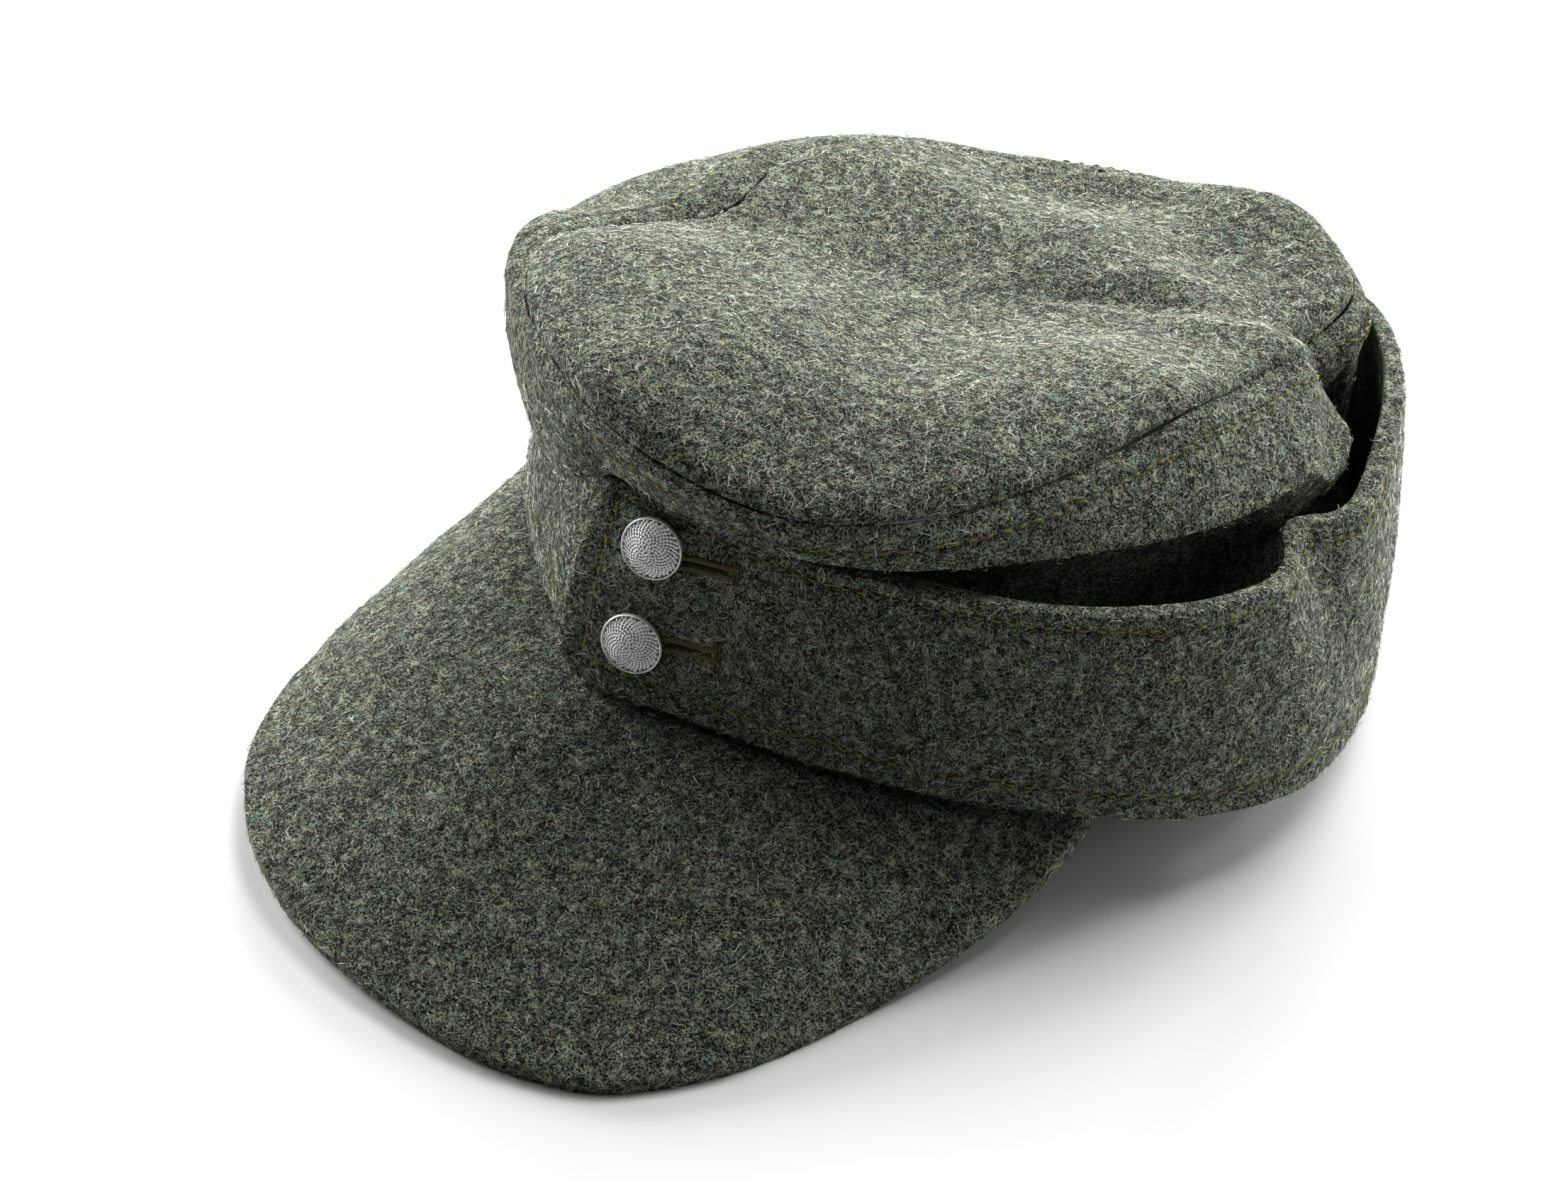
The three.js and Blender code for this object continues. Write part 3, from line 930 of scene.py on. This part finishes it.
@dataclass
class CrownSide(Crown):
    """Side panel of the crown, tucked in below the fold, with a sewn line just below its upper seam."""

    below_seam: float = 5.2 * MM
    tuck: float = 9.0 * MM
    tuck_below: float = 20.0 * MM
    tuck_from: float = 44.0 * MM
    tuck_width: float = 7.0 * MM
    shoulder: float = 2.0 * MM
    shoulder_out: float = 6.0 * MM
    shoulder_width: float = 4.2 * MM
    shoulder_angle: float = -78.0
    shoulder_reach: float = 24.0

    def form(self, places: np.ndarray, facing: np.ndarray) -> np.ndarray:
        """Adds the tuck below the fold, and the far side's shoulder.

        Args:
            places: The places of the vertices.
            facing: The directions that they face.

        Returns:
            A move for each vertex.
        """
        move = super().form(places, facing)
        angle, _, height = HEAD.polar(places)
        along, toward = self.beside_fold(places)
        tuck = smooth_step(0.0, self.tuck_width, along - height - self.tuck_below)
        tuck *= smooth_step(0.0, self.tuck_width, along - self.tuck_from) * (toward > 0.0)
        move -= HEAD.outward(places) * (self.tuck * tuck)[:, None]
        far = bump(angle - self.shoulder_angle, self.shoulder_reach)
        out = bump(self.off_seam(places) - self.shoulder_out, self.shoulder_width)
        move[:, 2] += self.shoulder * far * out
        return move

    def seams(self, places: np.ndarray) -> dict[str, np.ndarray]:
        """Measures from the line below the upper seam.

        Args:
            places: The places of the vertices.

        Returns:
            Distances with a sign for each line's name.
        """
        rows = super().seams(places)
        rows["seam_high"] = self.off_seam(places) - self.below_seam
        return rows


class Surface:
    """Cloth piece that places are found on, by lines that run in toward the head's axis."""

    def __init__(self, cloth: bpy.types.Object) -> None:
        """Sorts the piece's faces.

        Args:
            cloth: The finished piece.
        """
        shell = bmesh.new()
        shell.from_mesh(cloth.data)
        self.tree = BVHTree.FromBMesh(shell)
        shell.free()

    def find(self, angle: float, height: float) -> tuple[np.ndarray, np.ndarray] | None:
        """Finds the outermost place at an angle and a height above the rim.

        Args:
            angle: Degrees from the front over the wearer's left.
            height: Height above the rim.

        Returns:
            The place and the way that the cloth faces, or nothing where there is none.
        """
        place, facing, _, _ = self.tree.ray_cast(*HEAD.ray(angle, height))
        return None if place is None else (np.array(place), np.array(facing))


@dataclass
class Sewing:
    """Short stitches of thread, gathered for one object."""

    name: str
    finish: bpy.types.Material
    thickness: float = 0.32 * MM
    bite: float = 0.35 * MM
    lift: float = 0.18 * MM
    widest: float = 2.0 * MM
    off_pitch: float = 0.06
    off_line: float = 0.12
    lengths: tuple[float, float] = (0.85, 1.05)
    rows: list[tuple[np.ndarray, np.ndarray, np.ndarray]] = field(default_factory=list)

    def add(self, place: np.ndarray, along: np.ndarray, facing: np.ndarray) -> None:
        """Adds one stitch by its middle, the way to its end, and the way that the cloth faces."""
        self.rows.append((place, along, facing))

    def run(self, line: list[tuple[np.ndarray, np.ndarray]], pitch: float, length: float, seed: int) -> None:
        """Sews along a line.

        Args:
            line: Places and facing directions, close together.
            pitch: From one stitch to the next.
            length: Of one stitch.
            seed: Of the small unevenness.
        """
        chance = np.random.default_rng(seed)
        places = np.array([row[0] for row in line])
        facings = np.array([row[1] for row in line])
        run = np.concatenate([[0.0], np.cumsum(np.linalg.norm(np.diff(places, axis=0), axis=1))])
        for middle in np.arange(pitch, run[-1] - pitch, pitch):
            middle += chance.uniform(-self.off_pitch, self.off_pitch) * pitch
            near = (run > middle - length) & (run < middle + length)
            if np.diff(run[near]).max(initial=0.0) > self.widest or np.count_nonzero(near) < 2:
                continue
            ends = [
                np.array([np.interp(middle + side, run, places[:, k]) for k in range(3)])
                for side in (-length / 2, length / 2)
            ]
            facing = np.array([np.interp(middle, run, facings[:, k]) for k in range(3)])
            facing /= np.linalg.norm(facing)
            along = (ends[1] - ends[0]) / 2
            along += np.cross(facing, along) * chance.uniform(-self.off_line, self.off_line)
            self.add((ends[0] + ends[1]) / 2, along * chance.uniform(*self.lengths), facing)

    def build(self) -> bpy.types.Object:
        """Builds the stitches.

        Returns:
            All of them as one object.
        """
        stitch = bmesh.new()
        bmesh.ops.create_uvsphere(stitch, u_segments=6, v_segments=4, radius=1.0)
        mesh = repeated(self.name, stitch, len(self.rows))
        corners = coordinates(mesh).reshape(len(self.rows), -1, 3)
        place, along, facing = (np.array(part)[:, None, :] for part in zip(*self.rows))
        beside = np.cross(facing, along)
        beside /= np.linalg.norm(beside, axis=2, keepdims=True)
        reach = corners[:, :, 2:]
        high = corners[:, :, 1:2] * self.thickness + self.lift - self.bite * reach**2
        laid = place + along * reach + beside * corners[:, :, :1] * self.thickness + facing * high
        move_to(mesh, laid.reshape(-1, 3))
        return piece(self.name, mesh, self.finish)


@dataclass
class Stitching:
    """Sews the cap: lines along the flaps' edges and the crown's seam, and the buttonholes."""

    pitch: float = 3.1 * MM
    length: float = 2.3 * MM
    step: float = 0.4
    last: float = 176.0
    rise: float = 0.5 * MM
    search: float = 12.0 * MM
    search_step: float = 0.25 * MM

    def line(
        self, surface: Surface, angles: np.ndarray, heights: np.ndarray
    ) -> list[tuple[np.ndarray, np.ndarray]]:
        """Follows a line on a cloth piece.

        Args:
            surface: The piece.
            angles: Degrees round the head.
            heights: Height above the rim at each.

        Returns:
            The places that were found and the way that the cloth faces there.
        """
        found = [surface.find(angle, height) for angle, height in zip(angles, heights)]
        return [row for row in found if row is not None]

    def flap(self, flap: Flap, cloth: bpy.types.Object, finishes: Finishes) -> None:
        """Sews one flap's lower, upper and front edges.

        Args:
            flap: The flap.
            cloth: Its finished piece.
            finishes: The cap's materials.
        """
        surface = Surface(cloth)
        steps, tops = flap.top_edge(coordinates(cloth.data))
        first = flap.front + flap.turn * flap.end_turn
        angles = np.arange(first, flap.turn * self.last, flap.turn * self.step)
        sewing = Sewing(f"stitches_{flap.node}", finishes.thread)
        upper = np.interp(angles, steps, tops) - flap.below_top
        ends = np.arange(flap.low, upper[0], self.rise)
        lines = (
            (angles, np.full(len(angles), flap.low)),
            (angles, upper),
            (np.full(len(ends), first), ends),
        )
        for number, (turns, heights) in enumerate(lines):
            sewing.run(self.line(surface, turns, heights), self.pitch, self.length, SEED + number)
        sewing.build()

    def crown(self, side: CrownSide, cloth: bpy.types.Object, finishes: Finishes) -> None:
        """Sews the line below the crown's upper seam.

        Args:
            side: The crown's side panel.
            cloth: Its finished piece.
            finishes: The cap's materials.
        """
        surface = Surface(cloth)
        line = []
        for start in self._smooth(side.seam_line()):
            angle, _, height = (float(part[0]) for part in HEAD.polar(start[None]))
            for down in np.arange(0.0, self.search, self.search_step):
                found = surface.find(angle, height - down)
                if found is not None and np.linalg.norm(found[0] - start) >= side.below_seam:
                    line.append(found)
                    break
        sewing = Sewing("stitches_crown_side", finishes.thread)
        sewing.run(line, self.pitch, self.length, SEED + 3)
        sewing.build()

    def _smooth(self, line: np.ndarray) -> np.ndarray:
        """Fills a ring of places with more places between them.

        Args:
            line: One row of x, y and z for each place.

        Returns:
            Four times as many rows.
        """
        shares = np.arange(0.0, 1.0, 0.25)[None, :, None]
        ends = np.roll(line, -1, axis=0)
        return (line[:, None, :] * (1.0 - shares) + ends[:, None, :] * shares).reshape(-1, 3)

    def buttonholes(self, cloth: bpy.types.Object, finishes: Finishes) -> None:
        """Sews the two buttonholes of the left flap.

        Args:
            cloth: The flap's finished piece.
            finishes: The cap's materials.
        """
        surface = Surface(cloth)
        rims = Sewing("buttonhole_rims", finishes.dark_thread, thickness=0.34 * MM, bite=0.3 * MM)
        # The slits hold painted shade: a near-black stitch where the cut's opening lies in shadow.
        slits = Sewing("buttonhole_slit_shade", finishes.slit_shade_finish, thickness=0.34 * MM, bite=0.2 * MM)
        for hole in (
            Buttonhole(start=8.0, end=18.6, low=32.4 * MM, high=34.8 * MM, bar=2.0 * MM),
            Buttonhole(start=8.0, end=17.4, low=14.6 * MM, high=16.8 * MM, bar=2.6 * MM),
        ):
            hole.sew(surface, rims, slits)
        rims.build()
        slits.build()


@dataclass(frozen=True)
class Buttonhole:
    """Slit with a worked rim on both sides and a bar across its end, its opening shown as a near-black
    stitch of painted shade.
    """

    start: float
    end: float
    low: float
    high: float
    bar: float
    beside: float = 1.0 * MM
    wrap: float = 0.8 * MM
    wraps: int = 34
    bar_wraps: int = 9
    bar_past: float = 0.3
    bar_sides: tuple[float, float] = (-0.25, 0.25)

    def sew(self, surface: Surface, rims: Sewing, slits: Sewing) -> None:
        """Adds the hole's threads and the painted shade of its slit.

        Args:
            surface: The cloth that it is cut in.
            rims: Takes the worked rims and the bar.
            slits: Takes the slit's painted shade, one near-black stitch.
        """
        places = []
        for share in np.linspace(0.0, 1.0, self.wraps):
            angle = self.start + (self.end - self.start) * share
            height = self.low + (self.high - self.low) * share
            for side in (-self.beside, self.beside):
                self._wrap(surface, rims, angle, height + side, self.wrap)
            places.append(surface.find(angle, height))
        for share in np.linspace(-1.0, 1.0, self.bar_wraps):
            for side in self.bar_sides:
                angle = self.end + self.bar_past + side
                self._wrap(surface, rims, angle, self.high + share * self.bar, self.wrap / 2)
        middle = places[len(places) // 2]
        # Painted shade: one near-black stitch along the whole slit stands for its shadowed opening.
        slits.add(middle[0], (places[-1][0] - places[0][0]) / 2, middle[1])

    def _wrap(self, surface: Surface, rims: Sewing, angle: float, height: float, reach: float) -> None:
        """Adds one thread that lies across the slit's rim.

        Args:
            surface: The cloth that it lies on.
            rims: Takes the thread.
            angle: Degrees round the head.
            height: Height above the rim of the cap.
            reach: How far up the thread reaches from its middle.
        """
        middle = surface.find(angle, height)
        above = surface.find(angle, height + reach)
        if middle is not None and above is not None:
            rims.add(middle[0], above[0] - middle[0], middle[1])


@dataclass
class Nap:
    """Loose fibres that lie on a cloth piece."""

    name: str
    count: int
    length: tuple[float, float]
    thickness: float
    rings: int
    seed: int
    lift: float = 0.35 * MM
    over_edge: float = -0.15
    standing: float = 0.15
    stand: float = 1.1 * MM
    stand_range: tuple[float, float] = (0.1, 0.5)
    curl: float = 0.9
    wave: float = 0.35
    shade: tuple[float, float] = (0.5, 0.6)
    floor: float = 0.02 * MM

    def build(self, cloth: bpy.types.Object, side: Side, finishes: Finishes) -> bpy.types.Object:
        """Scatters the fibres over a cloth piece.

        Args:
            cloth: The piece that they lie on.
            side: Which of its faces grow them.
            finishes: The cap's materials.

        Returns:
            The fibres as one object.
        """
        chance = np.random.default_rng(self.seed)
        at, facing = self._places(cloth.data, side, chance)
        strand = bmesh.new()
        bmesh.ops.create_uvsphere(strand, u_segments=3, v_segments=self.rings, radius=1.0)
        mesh = repeated(self.name, strand, self.count)
        corners = coordinates(mesh).reshape(self.count, -1, 3)
        move_to(mesh, self._laid(at, facing, corners, chance))
        tone = mesh.attributes.new(Fibre.attribute, "FLOAT", "POINT")
        shade = np.clip(chance.beta(*self.shade, self.count), 0.0, 1.0)
        tone.data.foreach_set("value", np.repeat(shade, corners.shape[1]))
        return piece(self.name, mesh, finishes.fibre)

    def _places(
        self, mesh: bpy.types.Mesh, side: Side, chance: np.random.Generator
    ) -> tuple[np.ndarray, np.ndarray]:
        """Picks evenly spread places on a mesh's outer faces.

        Args:
            mesh: The cloth's mesh.
            side: Which of its faces grow fibres.
            chance: The source of random numbers.

        Returns:
            A place and a facing direction for each fibre.
        """
        mesh.calc_loop_triangles()
        index = np.empty(len(mesh.loop_triangles) * 3, dtype=int)
        mesh.loop_triangles.foreach_get("vertices", index)
        corners = coordinates(mesh)[index].reshape(-1, 3, 3)
        cross = np.cross(corners[:, 1] - corners[:, 0], corners[:, 2] - corners[:, 0])
        area = np.linalg.norm(cross, axis=1)
        facing = unit(cross)
        middle = corners.mean(axis=1)
        if side is Side.OUTWARD:
            area = area * (np.sum(facing * HEAD.outward(middle), axis=1) > self.over_edge)
        elif side is Side.UPWARD:
            area = area * (facing[:, 2] > 0.0)
        picked = chance.choice(len(area), self.count, p=area / area.sum())
        share = chance.random((self.count, 2))
        over = share.sum(axis=1) > 1.0
        share[over] = 1.0 - share[over]
        first, second = share[:, :1], share[:, 1:]
        chosen = corners[picked]
        place = chosen[:, 0] * (1.0 - first - second) + chosen[:, 1] * first + chosen[:, 2] * second
        return place, facing[picked]

    def _laid(
        self, at: np.ndarray, facing: np.ndarray, corners: np.ndarray, chance: np.random.Generator
    ) -> np.ndarray:
        """Bends each copy of the strand and lays it on the cloth.

        Args:
            at: The middle of each fibre.
            facing: The cloth's direction there.
            corners: Each strand's corners before it is laid, with its length along z.
            chance: The source of random numbers.

        Returns:
            The corners of all fibres.
        """
        loose = unit(chance.normal(size=(self.count, 3)))
        along = unit(np.cross(facing, loose))
        beside = np.cross(facing, along)
        length = chance.uniform(*self.length, self.count)
        curl = chance.uniform(-self.curl, self.curl, self.count) * length * 0.5
        wave = chance.uniform(-self.wave, self.wave, self.count) * length * 0.5
        rise = chance.uniform(0.1, 1.0, self.count) * self.lift
        tip = chance.uniform(-1.0, 1.0, self.count) * self.lift
        up_there = chance.random(self.count) < self.standing
        rise = np.where(up_there, chance.uniform(*self.stand_range, self.count) * self.stand, rise)
        tip = np.where(up_there, chance.uniform(-1.0, 1.0, self.count) * self.stand, tip)
        reach = corners[:, :, 2]
        side = curl[:, None] * (reach**2 - 0.4) + wave[:, None] * reach * (1.0 - reach**2) * 3.0
        up = rise[:, None] * (1.0 - 0.5 * reach**2) + tip[:, None] * reach * 0.5
        wide = corners[:, :, 0] * self.thickness + side
        high = corners[:, :, 1] * self.thickness + up
        laid = (
            at[:, None, :]
            + along[:, None, :] * (reach * length[:, None] * 0.5)[:, :, None]
            + beside[:, None, :] * wide[:, :, None]
            + facing[:, None, :] * high[:, :, None]
        )
        laid = laid.reshape(-1, 3)
        laid[:, 2] = np.maximum(laid[:, 2], self.floor)
        return laid


def repeated(name: str, shape: bmesh.types.BMesh, count: int) -> bpy.types.Mesh:
    """Doubles a shape until it stands there often enough, one copy after another.

    Args:
        name: The mesh's name.
        shape: The shape to repeat, which is used up.
        count: How many of it there are at the end.

    Returns:
        The mesh of all copies, each with its corners in one stretch of the list.
    """
    mesh = bpy.data.meshes.new(name)
    shape.to_mesh(mesh)
    shape.clear()
    shape.from_mesh(mesh)
    corners = len(shape.verts)
    edges = len(shape.edges)
    faces = len(shape.faces)
    have = 1
    while have < count:
        more = min(have, count - have)
        chosen = list(shape.verts)[: more * corners]
        chosen += list(shape.edges)[: more * edges]
        chosen += list(shape.faces)[: more * faces]
        bmesh.ops.duplicate(shape, geom=chosen)
        have += more
    shape.to_mesh(mesh)
    shape.free()
    return mesh


@dataclass
class Button:
    """Domed metal button with close spirals of small pebbles inside a plain raised rim."""

    node: str
    pebble: float = 0.64 * MM
    pebble_share: float = 0.52
    pebble_height: float = 0.36 * MM
    pebble_crowd: float = 3.6
    pebble_inset: float = 0.2
    uneven: float = 0.12
    uneven_scale: float = 3.7
    rim: float = 0.34 * MM
    rim_line: tuple[tuple[float, float], ...] = (
        (0.0, 0.3), (0.0, 0.7), (0.2, 0.95), (0.5, 1.0), (0.85, 0.9), (1.0, 0.6),
    )
    rim_height: float = 0.46
    back: float = 0.9
    foot: float = 0.3 * MM
    groove: float = 0.06 * MM
    turn: float = math.radians(8.0)
    lift: float = 0.7 * MM
    around: int = 240
    rows: int = 46

    def build(self, finishes: Finishes) -> bpy.types.Object:
        """Builds the button where its solid is.

        Args:
            finishes: The cap's materials.

        Returns:
            The finished object.
        """
        places = coordinates(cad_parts[self.node].data)
        middle = places.mean(axis=0)
        axis = np.linalg.svd(places - middle)[2][2]
        if axis @ HEAD.outward(middle[None])[0] < 0.0:
            axis = -axis
        depth = (places - middle) @ axis
        back = middle + axis * (depth.min() + self.lift)
        off = (places - middle) - np.outer(depth, axis)
        radius = np.linalg.norm(off, axis=1).max()
        height = depth.max() - depth.min()
        turned = bmesh.new()
        self._profile(turned, radius, height)
        self._emboss(turned, radius)
        facing = Matrix.Rotation(self.turn, 3, "Z") @ Vector(axis)
        upright = facing.to_track_quat("Z", "Y").to_matrix().to_4x4()
        bmesh.ops.transform(turned, matrix=Matrix.Translation(Vector(back)) @ upright, verts=turned.verts)
        mesh = bpy.data.meshes.new(f"pebbled_{self.node}")
        turned.to_mesh(mesh)
        turned.free()
        made = piece(f"pebbled_{self.node}", mesh, finishes.metal)
        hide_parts(self.node)
        return made

    def _profile(self, turned: bmesh.types.BMesh, radius: float, height: float) -> None:
        """Spins the button's section, from the middle of its back round to the top of its dome.

        Args:
            turned: The empty mesh that takes it.
            radius: The button's radius.
            height: Its whole height.
        """
        edge = height * self.rim_height
        line = [(0.0, 0.0), (radius * self.back, 0.0)]
        line += [(radius - self.rim * inward, edge * up) for inward, up in self.rim_line]
        low = line[-1][1]
        dished = radius - self.rim - self.groove
        for row in range(self.rows + 1):
            share = row / self.rows
            dome = low + (height - low - self.pebble_height) * math.sin(share * math.pi / 2)
            line.append((dished * (1.0 - share), dome))
        corners = [turned.verts.new((x, 0.0, z)) for x, z in line]
        edges = [turned.edges.new(pair) for pair in zip(corners[:-1], corners[1:])]
        bmesh.ops.spin(
            turned,
            geom=corners + edges,
            cent=(0.0, 0.0, 0.0),
            axis=(0.0, 0.0, 1.0),
            angle=math.tau,
            steps=self.around,
            use_merge=True,
        )
        bmesh.ops.remove_doubles(turned, verts=turned.verts, dist=0.001 * MM)
        bmesh.ops.recalc_face_normals(turned, faces=turned.faces)

    def _emboss(self, turned: bmesh.types.BMesh, radius: float) -> None:
        """Raises the pebbles, which stand in close spirals, and keeps how high each corner lies for the
        painted shade in the hollows.

        Args:
            turned: The spun button.
            radius: The button's radius.
        """
        outermost = radius - self.rim - self.groove - self.pebble * self.pebble_inset
        count = round(self.pebble_crowd * (outermost / self.pebble) ** 2)
        tree = KDTree(count)
        for number in range(count):
            turn = number * math.pi * (3.0 - math.sqrt(5.0))
            off = outermost * math.sqrt((number + 0.5) / count)
            tree.insert((off * math.cos(turn), off * math.sin(turn), 0.0), number)
        tree.balance()
        # Height for the painted shade: zero in the hollows between pebbles, which the metal darkens; one on
        # the pebble tops, the rim and the back.
        height = turned.verts.layers.float.new(ButtonMetal.attribute)
        for vert in turned.verts:
            unshaded = math.hypot(vert.co.x, vert.co.y) > radius - self.rim or vert.co.z < self.foot
            vert[height] = 1.0 if unshaded else 0.0
            place, _, away = tree.find((vert.co.x, vert.co.y, 0.0))
            size = 1.0 + self.uneven * noise.noise(place / self.pebble * self.uneven_scale)
            away /= self.pebble * self.pebble_share * size
            if away < 1.0 and not unshaded:
                vert.co.z += self.pebble_height * math.sqrt(1.0 - away * away)
                vert[height] = 1.0 - away * away


@dataclass(frozen=True)
class Softbox:
    """One large studio light that looks at the cap."""

    name: str
    azimuth: float
    elevation: float
    distance: float
    size: float
    power: float

    def build(self, target: Vector) -> bpy.types.Object:
        """Hangs the light.

        Args:
            target: The place that it faces.

        Returns:
            The light's object.
        """
        lamp = bpy.data.lights.new(self.name, "AREA")
        lamp.shape = "SQUARE"
        lamp.size = self.size
        lamp.energy = self.power
        made = bpy.data.objects.new(self.name, lamp)
        bpy.context.scene.collection.objects.link(made)
        away = direction(self.azimuth, self.elevation)
        made.location = target + away * self.distance
        made.rotation_euler = away.to_track_quat("Z", "Y").to_euler()
        return made


def direction(azimuth: float, elevation: float) -> Vector:
    """Gives the direction from the cap to a place round it.

    Args:
        azimuth: Degrees from the front over the wearer's left.
        elevation: Degrees above the level.

    Returns:
        The unit direction.
    """
    turn = math.radians(azimuth)
    rise = math.radians(elevation)
    return Vector((math.sin(turn) * math.cos(rise), -math.cos(turn) * math.cos(rise), math.sin(rise)))


@dataclass
class Studio:
    """White floor, soft lights and the camera of the photograph."""

    target: Triple = (-5.926 * MM, -9.770 * MM, 21.362 * MM)
    azimuth: float = 50.0
    elevation: float = 40.0
    distance: float = 800.0 * MM
    lens: float = 95.03
    sensor: float = 36.0
    floor_size: float = 12.0
    floor_colour: Triple = (0.90, 0.90, 0.90)
    floor_roughness: float = 0.9
    light_distance: float = 1.5
    light_size: float = 0.9

    def build(self) -> None:
        """Builds the floor, lights, white background and camera."""
        self._floor()
        self._sky()
        self._camera()
        for name, azimuth, elevation, power in (
            ("RightLight", 140.0, 12.0, 8.5),
            ("RearRightLight", 180.0, 12.0, 16.0),
            ("RearLight", 180.0, 55.0, 14.0),
            ("BackLight", 220.0, 12.0, 39.0),
            ("LeftLight", 280.0, 12.0, 34.0),
            ("HighLeftLight", 300.0, 55.0, 5.0),
            ("FrontLeftLight", 325.0, 6.0, 1.3),
        ):
            light = Softbox(name, azimuth, elevation, self.light_distance, self.light_size, power)
            light.build(Vector(self.target))
        view = bpy.context.scene.view_settings
        view.view_transform = "Standard"
        view.look = "Medium High Contrast"

    def _floor(self) -> None:
        """Lays the white floor."""
        sheet = bmesh.new()
        bmesh.ops.create_grid(sheet, x_segments=1, y_segments=1, size=self.floor_size / 2)
        mesh = bpy.data.meshes.new("Floor")
        sheet.to_mesh(mesh)
        sheet.free()
        graph = Graph("WhiteFloor")
        shader = graph.node("ShaderNodeBsdfPrincipled")
        shader.inputs["Base Color"].default_value = (*self.floor_colour, 1.0)
        shader.inputs["Roughness"].default_value = self.floor_roughness
        mesh.materials.append(graph.close(shader.outputs[0]))
        made = bpy.data.objects.new("Floor", mesh)
        bpy.context.scene.collection.objects.link(made)

    def _sky(self) -> None:
        """Shows plain white behind the floor, which gives no light."""
        world = bpy.data.worlds.new("Room")
        world.use_nodes = True
        back = world.node_tree.nodes["Background"]
        back.inputs["Color"].default_value = (1.0, 1.0, 1.0, 1.0)
        seen = world.node_tree.nodes.new("ShaderNodeLightPath")
        world.node_tree.links.new(seen.outputs["Is Camera Ray"], back.inputs["Strength"])
        bpy.context.scene.world = world

    def _camera(self) -> None:
        """Places the camera at the photograph's angle."""
        lens = bpy.data.cameras.new("Camera")
        lens.lens = self.lens
        lens.sensor_width = self.sensor
        lens.clip_start = 0.01
        lens.clip_end = 50.0
        made = bpy.data.objects.new("Camera", lens)
        bpy.context.scene.collection.objects.link(made)
        away = direction(self.azimuth, self.elevation)
        made.location = Vector(self.target) + away * self.distance
        made.rotation_euler = away.to_track_quat("Z", "Y").to_euler()
        bpy.context.scene.camera = made


def main() -> None:
    """Builds the cap piece by piece, then the studio."""
    logging.basicConfig(level=logging.INFO, format="%(name)s: %(message)s")
    finishes = Finishes()
    left = LapFlap("flap_left", roll=0.8 * MM, front=-1.5)
    right = Flap("flap_right", roll=1.5 * MM, front=17.0, turn=-1.0)
    side = CrownSide("crown_side")
    cloths = [
        side,
        Crown("crown_top", nap_side=Side.UPWARD, close=-0.1 * MM),
        left,
        right,
        Cloth("peak", roll=1.3 * MM, nap_side=Side.ALL),
    ]
    made = {cloth.node: cloth.build(finishes) for cloth in cloths}
    for number, cloth in enumerate(cloths):
        for name, count, length, thickness, rings in (
            ("nap", 8000, (0.8 * MM, 2.0 * MM), 0.055 * MM, 2),
            ("curls", 5600, (1.6 * MM, 3.8 * MM), 0.065 * MM, 3),
        ):
            Nap(
                f"{name}_{cloth.node}",
                count=count,
                length=length,
                thickness=thickness,
                rings=rings,
                seed=SEED + number,
            ).build(made[cloth.node], cloth.nap_side, finishes)
    stitching = Stitching()
    stitching.flap(left, made["flap_left"], finishes)
    stitching.flap(right, made["flap_right"], finishes)
    stitching.crown(side, made["crown_side"], finishes)
    stitching.buttonholes(made["flap_left"], finishes)
    for node in ("button_upper", "button_lower"):
        Button(node).build(finishes)
    Studio().build()


if __name__ == "__main__":
    main()
